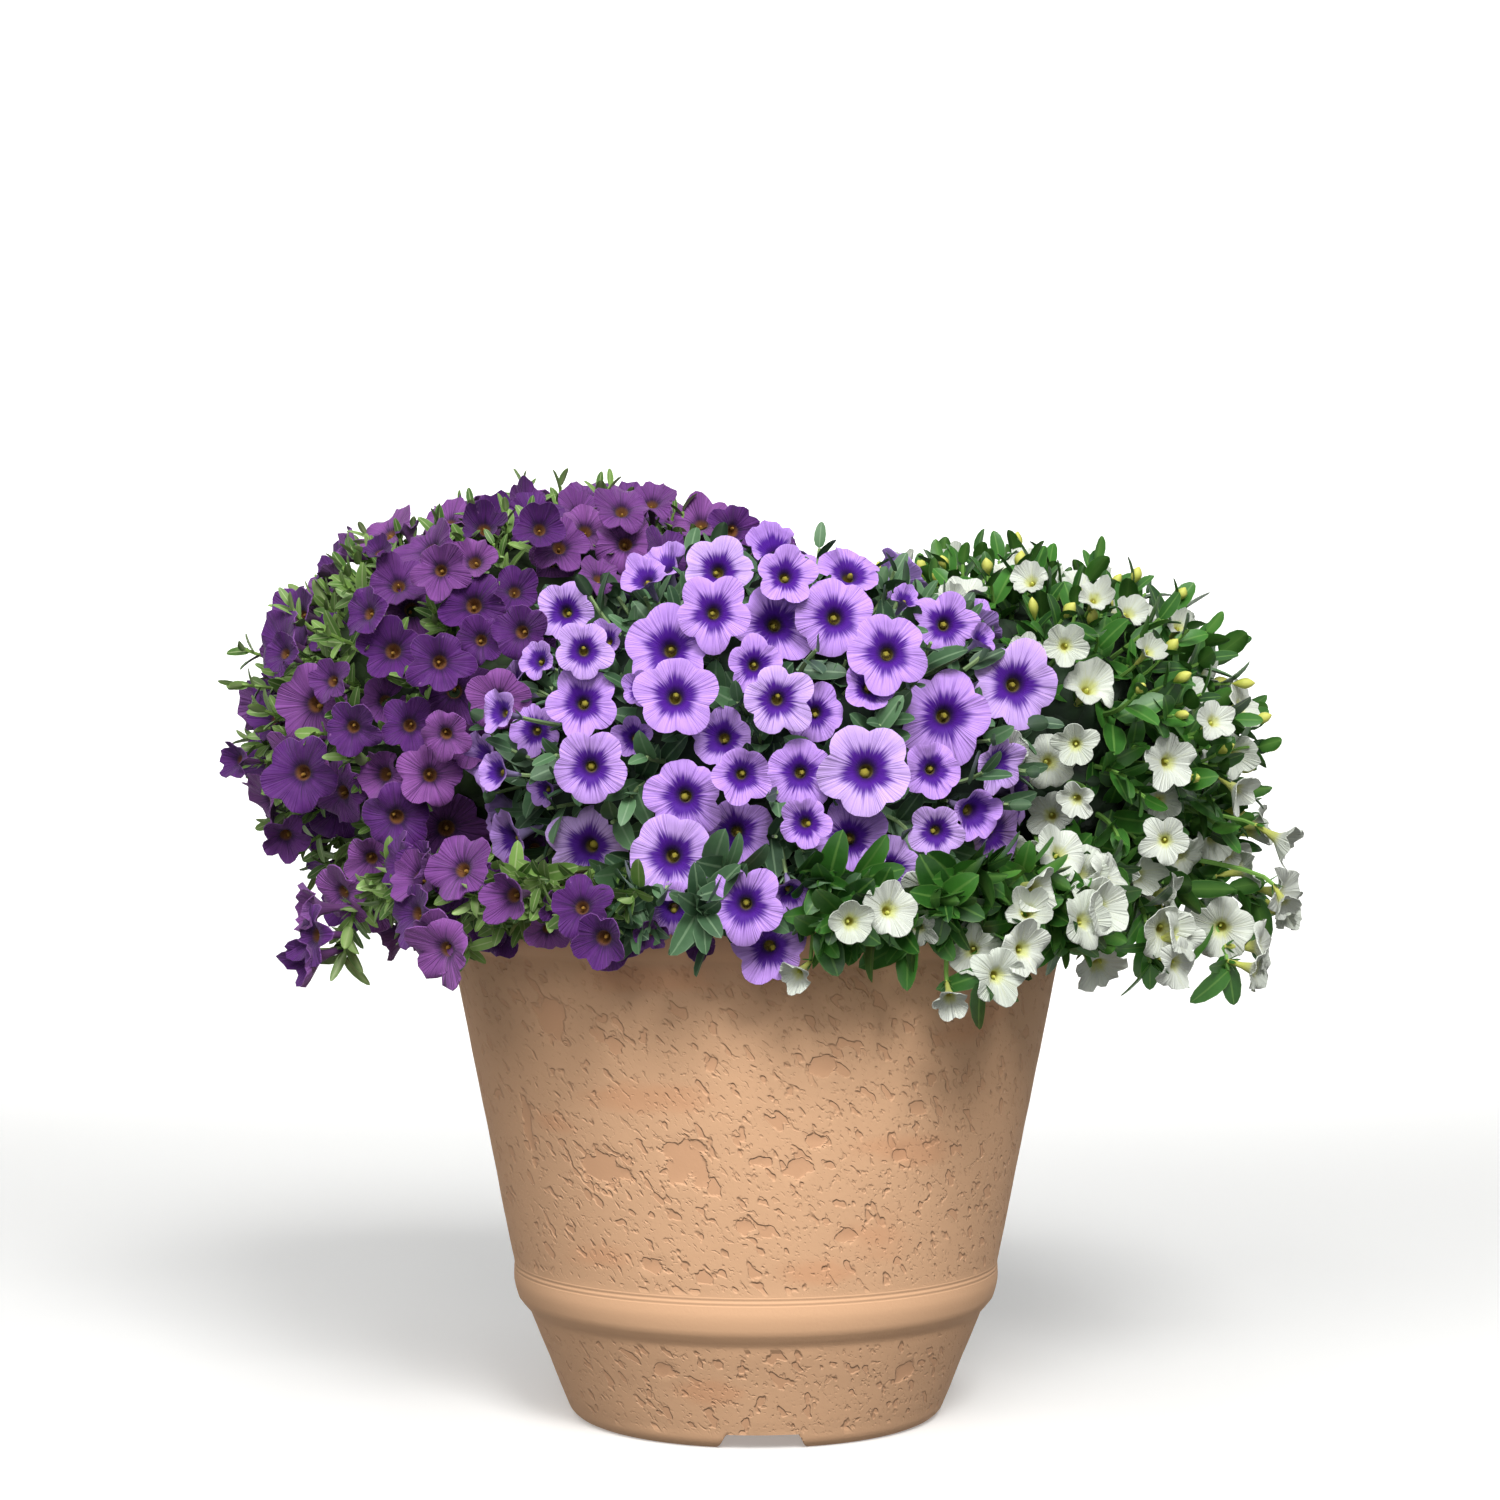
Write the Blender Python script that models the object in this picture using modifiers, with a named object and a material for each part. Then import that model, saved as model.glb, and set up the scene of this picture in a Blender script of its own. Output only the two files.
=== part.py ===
"""Calibrachoa bowl: a violet, a lavender and a white plant in a round terracotta-coloured planter.

Units are metres and +Z is up. The origin is the middle of the pot's foot, on the surface that it
stands on, and the front of the planting is -Y. The pot is one moulded shell, the soil fills it, and
each plant is one body: a dense leafy core on a short crown, with its blooms and its trailing
shoots grown out of it.
"""

import math
import random

import bmesh
import bpy
from mathutils import Matrix, Vector

MM = 0.001

# Pot: a moulded shell with a rolled rim, a roll round its waist and a narrower foot.
RIM_RADIUS = 152.5 * MM
RIM_TOP = 244.5 * MM
RIM_BOTTOM = 213 * MM
NECK_RADIUS = 139 * MM
WAIST_RADIUS = 110.5 * MM
WAIST_TOP = 69 * MM
WAIST_BOTTOM = 48 * MM
FOOT_TOP_RADIUS = 103.3 * MM
FOOT_RADIUS = 80.5 * MM
WALL = 5 * MM
FLOOR_UNDER = 7 * MM
FLOOR_TOP = 12 * MM
TURN_STEPS = 36

# Three notches let water out between the feet, fed by holes in the raised floor.
NOTCH_COUNT = 3
NOTCH_TURN = math.radians(1.8)
NOTCH_HEIGHT = 6.7 * MM
NOTCH_TOP_WIDTH = 31 * MM
NOTCH_FOOT_WIDTH = 39 * MM
DRAIN_RADIUS = 6 * MM
DRAIN_CIRCLE = 45 * MM

# Soil: fills the pot to a little below the rim, with one plain hole for each crown.
GAP = 0.4 * MM
SOIL_EDGE = 226 * MM
SOIL_MIDDLE = 230 * MM
CROWN_RADIUS = 9 * MM
CROWN_DEPTH = 25 * MM
CROWN_SIDES = 8

# Plants: a core inside the leafy outline ends in a flat underside just above the rim, and two of
# each five of its points are pulled out as leaf tips.
CORE_SHARE = 0.68
CORE_FLOOR = 248 * MM
CORE_POINTS = 230
CORE_DIMPLE = 0.05
LEAF_TIP_RISE = (0.20, 0.38)
LEAF_TIP_LEAN = 5 * MM
LEAF_TIPS = (0, 2)
ROOT_LIFT = 3.5 * MM
CELL_GAP = 0.7 * MM
RIM_CLEARANCE = 1 * MM
MOST_LIFT = 16 * MM
BURIED_SHARE = 0.96
OUTLINE_SHARE = 0.97
GOLDEN_ANGLE = math.pi * (3 - math.sqrt(5))
UP = Vector((0, 0, 1))

# A face looks out from its mound, turned down by the first share and to the front by the second
# where it would look less to the front than the third, and it wobbles to the sides and in height.
LESS_UP = 0.62
TO_THE_FRONT = 0.45
FRONT_ENOUGH = 0.35
WOBBLE = (0.22, 0.22, 0.2)

# Neighbouring faces stand at three depths, as shares of the mound's radii.
DEPTHS = (1.02, 0.95, 1.04)
FRONT_DEPTHS = (1.0, 0.95, 1.03)
BACK_FACES_FROM = -0.2

# Above the rim the plants part along three upright planes, which run from one point of the plan to
# the left, to the right and to the back. Below it, in front, they part at two upright planes.
MEETING = Vector((30 * MM, 8 * MM, 0))
LEFT_WALL = Vector((-180, -83, 0)).normalized()
RIGHT_WALL = Vector((130, -93, 0)).normalized()
BACK_WALL = Vector((0, 1, 0))
SKIRT_TOP = 253 * MM
SKIRT_LEFT = -52 * MM
SKIRT_RIGHT = 20 * MM

# A corolla is a funnel with five lobes, sized by the radius of its face. A lobe's edge is given by
# (degrees from the lobe's axis, share of the radius, share of the radius that it folds back).
LOBES = 5
LOBE_EDGE = ((-20, 1, 0.06), (20, 1, 0.06), (36, 0.78, -0.02))
THROAT_DEPTH = 0.45
FUNNEL_DEPTH = 0.78
TUBE_RADIUS = 1.7 * MM

# A trailing shoot arches over the rim and carries leaves in turn to left and right.
STEM_RADIUS = 1.8 * MM
LEAF_WIDTH_SHARE = 0.38
LEAF_THICKNESS = 1.2 * MM
OVER_RIM = 5 * MM
CREST_INSIDE_RIM = 4 * MM
DEGREES_PER_STEP = 16
SUNK = 2 * MM
SHOOT_BLOOM_SIZE = 0.95
SHOOT_LEAF_SIZE = 1.1
PEDICEL = 0.4

# The lavender faces that look to the front: millimetres across and up, and the face's diameter.
LAVENDER_FACES = (
    (-79, 357, 26), (-71, 341, 25), (-90, 337, 22), (-71, 320, 29), (-37, 342, 35), (-33, 323, 33),
    (-46, 368, 24), (-16, 372, 29), (-18, 356, 31), (13, 370, 27), (8, 351, 33), (34, 354, 33),
    (40, 373, 30), (55, 340, 34), (80, 351, 28), (108, 328, 37), (79, 315, 37), (0, 335, 27),
    (9, 321, 30), (25, 316, 25), (48, 327, 27), (46, 293, 37), (73, 293, 27), (75, 268, 25),
    (56, 252, 28), (39, 265, 31), (19, 291, 28), (20, 271, 26), (-8, 267, 31), (-6, 290, 28),
    (-30, 282, 33), (-36, 257, 36), (-14, 306, 30), (-51, 306, 24), (-69, 293, 31), (-71, 261, 34),
    (-92, 309, 24), (-108, 316, 22), (-109, 292, 22), (-4, 238, 32), (-34, 236, 26), (5, 220, 30),
    (14, 244, 22), (62, 376, 24), (-62, 235, 26), (-100, 271, 26), (98, 300, 26), (102, 352, 24),
)

PLANTS = (
    {
        "name": "violet_calibrachoa",
        "seed": 11,
        "centre": Vector((-93, 42, 315)) * MM,
        "radii": Vector((147, 126, 106)) * MM,
        "crown": Vector((-62, 40, 0)) * MM,
        "blooms": 92,
        "bloom_radius": (16.5 * MM, 19 * MM),
        "leaf": (15 * MM, 18 * MM),
        # Each shoot: degrees round from the front where it leaves and where it ends, reach and height.
        "shoots": (
            (-67, -22, 171, 228),
            (-70, -42, 173, 216),
            (-82, -76, 188, 212),
            (-128, -124, 186, 214),
            (-153, -155, 182, 218),
            (-172, -174, 176, 228),
        ),
        "petal": (0.19, 0.05, 0.36),
        "green": (0.12, 0.22, 0.05),
    },
    {
        "name": "lavender_calibrachoa",
        "seed": 27,
        "centre": Vector((4, -66, 296)) * MM,
        "radii": Vector((123, 94, 95)) * MM,
        "crown": Vector((4, -74, 0)) * MM,
        "blooms": 46,
        "bloom_radius": (15.5 * MM, 18 * MM),
        "leaf": (16 * MM, 19 * MM),
        "shoots": (
            (-13, -12, 174, 226),
            (-3, -2, 176, 230),
            (3, 2, 173, 208),
        ),
        "petal": (0.53, 0.32, 0.86),
        "green": (0.06, 0.13, 0.07),
    },
    {
        "name": "white_calibrachoa",
        "seed": 44,
        "centre": Vector((112, 32, 303)) * MM,
        "radii": Vector((118, 120, 88)) * MM,
        "crown": Vector((70, 36, 0)) * MM,
        "blooms": 54,
        "bloom_radius": (14 * MM, 17 * MM),
        "leaf": (18 * MM, 22 * MM),
        "shoots": (
            (67, 14, 170, 226),
            (69, 30, 171, 208),
            (71, 46, 172, 226),
            (76, 72, 184, 206),
            (82, 84, 214, 204),
            (92, 94, 235, 222),
            (106, 108, 236, 258),
            (132, 134, 210, 222),
            (164, 166, 181, 222),
        ),
        "petal": (0.80, 0.84, 0.76),
        "green": (0.05, 0.16, 0.03),
    },
)


def material(name, colour, roughness):
    """A plain painted finish for one piece."""
    made = bpy.data.materials.new(name)
    made.use_nodes = True
    shader = made.node_tree.nodes["Principled BSDF"]
    shader.inputs["Base Color"].default_value = (*colour, 1)
    shader.inputs["Roughness"].default_value = roughness
    shader.inputs["Metallic"].default_value = 0
    made.diffuse_color = (*colour, 1)
    return made


def add_object(name, mesh, collection):
    made = bpy.data.objects.new(name, mesh)
    collection.objects.link(made)
    return made


def mesh_from(bm, name):
    """The bmesh as a mesh with its faces pointing out."""
    bmesh.ops.recalc_face_normals(bm, faces=bm.faces)
    mesh = bpy.data.meshes.new(name)
    bm.to_mesh(mesh)
    bm.free()
    return mesh


def apply_modifiers(obj):
    """The object's mesh as its modifiers leave it, in place of the modifiers."""
    graph = bpy.context.evaluated_depsgraph_get()
    mesh = bpy.data.meshes.new_from_object(obj.evaluated_get(graph))
    obj.modifiers.clear()
    obj.data = mesh


def boolean(obj, others, operation, solver="EXACT"):
    """Joins or cuts obj with every object of a collection, then removes the collection."""
    step = obj.modifiers.new(operation.title(), "BOOLEAN")
    step.operand_type = "COLLECTION"
    step.collection = others
    step.operation = operation
    step.solver = solver
    apply_modifiers(obj)
    for other in list(others.objects):
        bpy.data.objects.remove(other)
    bpy.data.collections.remove(others)


def helper_collection(name):
    made = bpy.data.collections.new(name)
    bpy.context.scene.collection.children.link(made)
    return made


def turned(name, profile, collection):
    """A solid of revolution: the (radius, height) points run down its outer side."""
    bm = bmesh.new()
    points = [bm.verts.new((radius, 0, height)) for radius, height in profile]
    for first, second in zip(points, points[1:]):
        bm.edges.new((first, second))
    mesh = bpy.data.meshes.new(name)
    bm.to_mesh(mesh)
    bm.free()
    obj = add_object(name, mesh, collection)
    screw = obj.modifiers.new("Turn", "SCREW")
    screw.steps = TURN_STEPS
    screw.render_steps = TURN_STEPS
    screw.use_merge_vertices = True
    screw.merge_threshold = 0.0001
    screw.use_smooth_shade = True
    return obj


def arc(centre, radius, start, end, steps):
    """Points of an arc in the (radius, height) plane, with its angles in degrees."""
    for step in range(steps + 1):
        angle = math.radians(start + (end - start) * step / steps)
        yield (centre[0] + radius * math.cos(angle), centre[1] + radius * math.sin(angle))


def pot_outer():
    """The outer side from the crest of the rim down to the edge of the foot."""
    roll = 9 * MM
    yield from arc((RIM_RADIUS - roll, RIM_TOP - roll), roll, 100, 0, 3)
    yield (RIM_RADIUS - 0.4 * MM, RIM_BOTTOM + 16 * MM)
    yield (RIM_RADIUS - 3.2 * MM, RIM_BOTTOM + 10.5 * MM)
    yield (RIM_RADIUS - 7.2 * MM, RIM_BOTTOM + 5.2 * MM)
    yield (NECK_RADIUS, RIM_BOTTOM)
    yield (WAIST_RADIUS - 0.3 * MM, WAIST_TOP)
    bead = (WAIST_RADIUS - 10.5 * MM, WAIST_TOP - 5.5 * MM)
    yield from arc(bead, 10.5 * MM, 0, -42, 2)
    yield (FOOT_TOP_RADIUS, WAIST_BOTTOM)
    yield (FOOT_RADIUS + 5.6 * MM, 5 * MM)
    yield (FOOT_RADIUS + 3.4 * MM, 1.5 * MM)
    yield (FOOT_RADIUS, 0)


def inner_radius(height):
    """The radius of the pot's inner wall at a height: one slope below the waist, one above it."""
    low, high = (FOOT_RADIUS + 4 * MM, 0), (FOOT_TOP_RADIUS, WAIST_BOTTOM)
    if height > WAIST_BOTTOM:
        low, high = high, (NECK_RADIUS, RIM_BOTTOM)
    share = (height - low[1]) / (high[1] - low[1])
    return low[0] + (high[0] - low[0]) * share - WALL


def make_pot(collection):
    """The shell, turned, then cut by the foot notches and the drain holes."""
    profile = [(0, FLOOR_TOP)]
    for height in (FLOOR_TOP, WAIST_BOTTOM, RIM_TOP - 4 * MM):
        profile.append((inner_radius(height), height))
    profile.append((inner_radius(RIM_TOP) + 2.5 * MM, RIM_TOP - 0.6 * MM))
    profile.extend(pot_outer())
    profile.append((FOOT_RADIUS - 8 * MM, 0))
    profile.append((FOOT_RADIUS - 10 * MM, FLOOR_UNDER))
    profile.append((0, FLOOR_UNDER))
    pot = turned("pot", profile, collection)
    pot.data.materials.append(material("terracotta resin", (0.67, 0.42, 0.25), 0.75))
    cutters = helper_collection("pot cutters")
    for index in range(NOTCH_COUNT):
        turn = NOTCH_TURN + index * 2 * math.pi / NOTCH_COUNT
        add_object("notch", notch_mesh(turn), cutters)
        add_object("drain", drain_mesh(turn), cutters)
    boolean(pot, cutters, "DIFFERENCE")
    pot.data.shade_smooth()
    pot.data.set_sharp_from_angle(angle=math.radians(35))
    return pot


def notch_mesh(turn):
    """A bar with a trapezium section that reaches from the recess out past the foot."""
    bm = bmesh.new()
    bmesh.ops.create_cube(bm, size=1)
    inside, outside = FOOT_RADIUS - 16 * MM, FOOT_RADIUS + 20 * MM
    for vert in bm.verts:
        top = vert.co.z > 0
        width = NOTCH_TOP_WIDTH if top else NOTCH_FOOT_WIDTH + 1.2 * MM
        vert.co.x *= width
        vert.co.y = -inside if vert.co.y > 0 else -outside
        vert.co.z = NOTCH_HEIGHT if top else -MM
    bmesh.ops.rotate(bm, verts=bm.verts, matrix=Matrix.Rotation(turn, 3, "Z"))
    return mesh_from(bm, "notch")


def drain_mesh(turn):
    bm = bmesh.new()
    bmesh.ops.create_cone(
        bm, segments=10, radius1=DRAIN_RADIUS, radius2=DRAIN_RADIUS, depth=20 * MM, cap_ends=True
    )
    middle = Vector((0, -DRAIN_CIRCLE, (FLOOR_UNDER + FLOOR_TOP) / 2))
    bmesh.ops.translate(bm, verts=bm.verts, vec=middle)
    bmesh.ops.rotate(bm, verts=bm.verts, matrix=Matrix.Rotation(turn, 3, "Z"))
    return mesh_from(bm, "drain")


def make_soil(collection):
    """The soil stands clear of the pot by the gap and has a hole for each crown."""
    profile = [(0, SOIL_MIDDLE)]
    for height in (SOIL_EDGE, WAIST_BOTTOM, FLOOR_TOP + GAP):
        profile.append((inner_radius(height) - GAP, height))
    profile.append((0, FLOOR_TOP + GAP))
    soil = turned("soil", profile, collection)
    soil.data.materials.append(material("potting soil", (0.045, 0.028, 0.018), 0.95))
    holes = helper_collection("crown holes")
    for plant in PLANTS:
        add_object("hole", crown_mesh(plant, GAP), holes)
    boolean(soil, holes, "DIFFERENCE")
    return soil


def crown_mesh(plant, grow=0):
    """The short woody crown, from its foot in the soil up into the core, or its hole."""
    bm = bmesh.new()
    foot = SOIL_MIDDLE - CROWN_DEPTH - grow
    head = CORE_FLOOR + 6 * MM
    bmesh.ops.create_cone(
        bm,
        segments=CROWN_SIDES,
        radius1=CROWN_RADIUS + grow,
        radius2=CROWN_RADIUS * 1.5 + grow,
        depth=head - foot,
        cap_ends=True,
    )
    middle = plant["crown"] + Vector((0, 0, (head + foot) / 2))
    bmesh.ops.translate(bm, verts=bm.verts, vec=middle)
    return mesh_from(bm, "crown")


def walls_of(plant):
    """The normals, to the plant's own side, of the two planes that part it from the others."""
    behind_left = Vector((LEFT_WALL.y, -LEFT_WALL.x, 0))
    behind_right = Vector((-RIGHT_WALL.y, RIGHT_WALL.x, 0))
    right_of_back = Vector((BACK_WALL.y, -BACK_WALL.x, 0))
    return {
        "violet_calibrachoa": (behind_left, -right_of_back),
        "lavender_calibrachoa": (-behind_left, -behind_right),
        "white_calibrachoa": (behind_right, right_of_back),
    }[plant["name"]]


def skirt_of(plant):
    """The left and right ends of the plant's part of the skirt in front of the pot."""
    return {
        "violet_calibrachoa": (-1, SKIRT_LEFT - CELL_GAP),
        "lavender_calibrachoa": (SKIRT_LEFT + CELL_GAP, SKIRT_RIGHT - CELL_GAP),
        "white_calibrachoa": (SKIRT_RIGHT + CELL_GAP, 1),
    }[plant["name"]]


def has_room(plant, point):
    """Whether a point is clear of the pot and in the plant's own space."""
    if point.z < RIM_TOP + RIM_CLEARANCE and point.xy.length < RIM_RADIUS + RIM_CLEARANCE:
        return False
    above = all((point - MEETING).dot(normal) > CELL_GAP for normal in walls_of(plant))
    left, right = skirt_of(plant)
    below = left < point.x < right if point.y < 0 else above
    return (above or point.z < SKIRT_TOP - CELL_GAP) and (below or point.z > SKIRT_TOP + CELL_GAP)


def fits(plant, mesh):
    """Whether a piece has room all along its edges."""
    for edge in mesh.edges:
        first, second = (mesh.vertices[end].co for end in edge.vertices)
        steps = 1 + int((second - first).length / (2 * MM))
        if not all(has_room(plant, first.lerp(second, step / steps)) for step in range(steps + 1)):
            return False
    return True


def core_mesh(plant):
    """The leafy heart: an ellipsoid with leaf tips raised from it, cut by the walls and the underside."""
    bm = bmesh.new()
    rng = random.Random(plant["seed"] + 3)
    verts = [bm.verts.new(direction) for direction in lattice(CORE_POINTS)]
    bmesh.ops.convex_hull(bm, input=verts)
    for index, vert in enumerate(verts):
        is_tip = index % 5 in LEAF_TIPS
        rise = rng.uniform(*LEAF_TIP_RISE) if is_tip else -rng.uniform(0, CORE_DIMPLE)
        lean = Vector((rng.uniform(-1, 1), rng.uniform(-1, 1), rng.uniform(0, 1))) * LEAF_TIP_LEAN
        vert.co = plant["centre"] + scaled(plant["radii"], vert.co * CORE_SHARE * (1 + rise))
        vert.co += lean if is_tip else Vector()
    planes = [(MEETING + normal * CELL_GAP, normal) for normal in walls_of(plant)]
    planes.append((UP * CORE_FLOOR, UP))
    for point, normal in planes:
        everything = bm.verts[:] + bm.edges[:] + bm.faces[:]
        cut = bmesh.ops.bisect_plane(
            bm, geom=everything, plane_co=point, plane_no=normal, clear_inner=True
        )
        rim = [item for item in cut["geom_cut"] if isinstance(item, bmesh.types.BMEdge)]
        bmesh.ops.edgeloop_fill(bm, edges=rim)
    return mesh_from(bm, "core")


def lattice(count):
    """Unit directions spread evenly over a sphere along a golden-angle spiral."""
    for index in range(count):
        height = 1 - (2 * index + 1) / count
        radius = math.sqrt(1 - height * height)
        angle = GOLDEN_ANGLE * index
        yield Vector((radius * math.cos(angle), radius * math.sin(angle), height))


def scaled(first, second):
    """The product of two vectors, part by part."""
    return Vector(a * b for a, b in zip(first, second))


def reach(facing, radius, direction):
    """How far a disc that faces one way reaches from its middle along a direction."""
    return radius * math.sqrt(max(0, 1 - facing.dot(direction) ** 2))


def off_walls(plant, middle, facing, radius):
    """The middle of a disc, moved off each of the plant's walls that it would reach through."""
    for normal in walls_of(plant) * 2:
        room = (middle - MEETING).dot(normal) - reach(facing, radius, normal) - 2 * CELL_GAP
        middle = middle - normal * min(room, 0)
    return middle


def off_rim(plant, middle, facing, radius):
    """The middle of a disc, lifted over the pot's rim and the skirts of others, or moved out past it."""
    left, right = skirt_of(plant)
    across = reach(facing, radius, Vector((1, 0, 0)))
    low = middle.z - reach(facing, radius, UP)
    if middle.y < 0 and not left + across < middle.x < right - across:
        return middle + UP * max(0, SKIRT_TOP + 2 * CELL_GAP - low)
    out = Vector((middle.x, middle.y, 0)).normalized()
    below = RIM_TOP + 2 * RIM_CLEARANCE - low
    within = RIM_RADIUS + 2 * RIM_CLEARANCE - middle.xy.length + reach(facing, radius, out)
    if below <= 0 or within <= 0:
        return middle
    return middle + (UP * below if below < within else out * within)


def root_for(plant, direction, middle):
    """Where a stalk meets the core: sunk in, and above the core's flat underside."""
    centre = plant["centre"]
    share = CORE_SHARE * (1 - CORE_DIMPLE) - ROOT_LIFT / plant["radii"].x
    lowest = CORE_FLOOR + ROOT_LIFT
    if centre.z > lowest > middle.z:
        share = min(share, (centre.z - lowest) / (centre.z - middle.z))
    return centre + scaled(plant["radii"], direction) * share


def facing_for(plant, direction, rng):
    """Faces look outwards, less upwards than the mound does, and lean a little to the front."""
    normal = Vector(d / r for d, r in zip(direction, plant["radii"])).normalized()
    normal.z *= LESS_UP
    normal.y -= TO_THE_FRONT * max(0, FRONT_ENOUGH - normal.y)
    wobble = Vector(rng.uniform(-most, most) for most in WOBBLE)
    return (normal + wobble).normalized()


def buried(plant, point):
    """Whether a point lies inside the mound of another plant."""
    others = (other for other in PLANTS if other is not plant)
    return any(
        Vector(gap / size for gap, size in zip(point - other["centre"], other["radii"])).length < BURIED_SHARE
        for other in others
    )


def settled(plant, direction, share, facing, radius):
    """(middle, root) of a disc on the mound, moved off the rim and the walls, or None if hidden."""
    first = plant["centre"] + scaled(plant["radii"], direction) * share
    lifted = off_rim(plant, first, facing, radius)
    middle = off_walls(plant, lifted, facing, radius)
    if (lifted - first).length > MOST_LIFT or buried(plant, middle):
        return None
    root = root_for(plant, direction, middle)
    for normal in walls_of(plant):
        root -= normal * min(0, (root - MEETING).dot(normal) - ROOT_LIFT)
    return middle, root


def front_direction(plant, across, up):
    """The unit direction of the front point of the mound at a place in the view from the front."""
    x = (across - plant["centre"].x) / plant["radii"].x
    z = (up - plant["centre"].z) / plant["radii"].z
    spread = math.hypot(x, z)
    if spread > OUTLINE_SHARE:
        x, z = x * OUTLINE_SHARE / spread, z * OUTLINE_SHARE / spread
    return Vector((x, -math.sqrt(1 - x * x - z * z), z))


def mound_blooms(plant):
    """(direction, share of the mound's radius, face radius) of each bloom on a mound."""
    rng = random.Random(plant["seed"])
    faces = LAVENDER_FACES if plant["name"] == "lavender_calibrachoa" else ()
    for index, (across, up, diameter) in enumerate(faces):
        direction = front_direction(plant, across * MM, up * MM)
        yield direction, FRONT_DEPTHS[index % 3], diameter / 2 * MM
    for index, direction in enumerate(lattice(plant["blooms"])):
        radius = rng.uniform(*plant["bloom_radius"])
        if not faces or direction.y > BACK_FACES_FROM:
            yield direction, DEPTHS[index % 3], radius


def placed(middle, facing, twist):
    """The matrix that turns +Z to the facing direction, spins about it and moves to the middle."""
    turn = facing.to_track_quat("Z", "Y").to_matrix().to_4x4()
    return Matrix.Translation(middle) @ turn @ Matrix.Rotation(twist, 4, "Z")


def ring(bm, matrix, points):
    return [bm.verts.new(matrix @ Vector(point)) for point in points]


def circle(radius, height, sides):
    for side in range(sides):
        angle = 2 * math.pi * side / sides
        yield (radius * math.cos(angle), radius * math.sin(angle), height)


def fan(bm, points, tip):
    """Triangles from a closed ring to one point."""
    return [bm.faces.new((a, b, tip)) for a, b in zip(points, points[1:] + points[:1])]


def skin(bm, wide, narrow):
    """Triangles between a ring and one with no more points, shared out evenly."""
    faces = []
    for index, corner in enumerate(narrow):
        first = index * len(wide) // len(narrow)
        last = (index + 1) * len(wide) // len(narrow)
        for part in range(first, last):
            faces.append(bm.faces.new((wide[part], corner, wide[(part + 1) % len(wide)])))
        after = narrow[(index + 1) % len(narrow)]
        faces.append(bm.faces.new((wide[last % len(wide)], corner, after)))
    return faces


def stalked(bm, neck, root):
    """A stalk from a neck ring to a ring of the same size round the root."""
    middle = sum((vert.co for vert in neck), Vector()) / len(neck)
    foot = [bm.verts.new(vert.co + root - middle) for vert in neck]
    skin(bm, neck, foot)
    bm.faces.new(foot)


def bloom_mesh(middle, facing, radius, root, twist):
    """A five-lobed funnel: a lobed rim round a sunk throat, on a three-sided tube."""
    bm = bmesh.new()
    rim = []
    for index in range(LOBES):
        for degrees, share, fold in LOBE_EDGE:
            angle = math.tau * index / LOBES + math.radians(degrees)
            far = radius * share
            rim.append((far * math.cos(angle), far * math.sin(angle), -radius * fold))
    matrix = placed(middle, facing, twist)
    rim = ring(bm, matrix, rim)
    throat = bm.verts.new(matrix @ Vector((0, 0, -radius * THROAT_DEPTH)))
    neck = ring(bm, matrix, circle(TUBE_RADIUS, -radius * FUNNEL_DEPTH, 3))
    for face in fan(bm, rim, throat) + skin(bm, rim, neck):
        face.material_index = 1
    stalked(bm, neck, root)
    return mesh_from(bm, "bloom")


def leaf_mesh(base, along, up, length):
    """A folded blade from its base on a stem to its tip: a shallow V on top and a keel below."""
    bm = bmesh.new()
    along = along.normalized()
    side = along.cross(up).normalized()
    lift = side.cross(along)
    broad = base + along * length * 0.5
    half = side * length * LEAF_WIDTH_SHARE / 2
    heel = bm.verts.new(base)
    tip = bm.verts.new(base + along * length)
    left = bm.verts.new(broad - half + lift * LEAF_THICKNESS)
    right = bm.verts.new(broad + half + lift * LEAF_THICKNESS)
    keel = bm.verts.new(broad - lift * LEAF_THICKNESS)
    for corners in (
        (heel, right, tip),
        (heel, tip, left),
        (heel, keel, right),
        (keel, tip, right),
        (tip, keel, left),
        (keel, heel, left),
    ):
        bm.faces.new(corners)
    return mesh_from(bm, "leaf")


def stem_mesh(points):
    """A three-sided tube along a path, with its rings carried on without a twist."""
    bm = bmesh.new()
    normal = UP
    rings = []
    for before, point, after in zip(points[:1] + points, points, points[1:] + points[-1:]):
        along = (after - before).normalized()
        normal = (normal - along * normal.dot(along)).normalized()
        side = along.cross(normal)
        rings.append(
            [
                bm.verts.new(point + (normal * math.cos(angle) + side * math.sin(angle)) * STEM_RADIUS)
                for angle in (0, math.tau / 3, 2 * math.tau / 3)
            ]
        )
    for first, second in zip(rings, rings[1:]):
        skin(bm, first, second)
    bm.faces.new(rings[0])
    bm.faces.new(rings[-1])
    return mesh_from(bm, "stem")


def outward(degrees):
    """The level direction at an angle round from the front, positive to the right."""
    return Vector((math.sin(math.radians(degrees)), -math.cos(math.radians(degrees)), 0))


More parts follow.
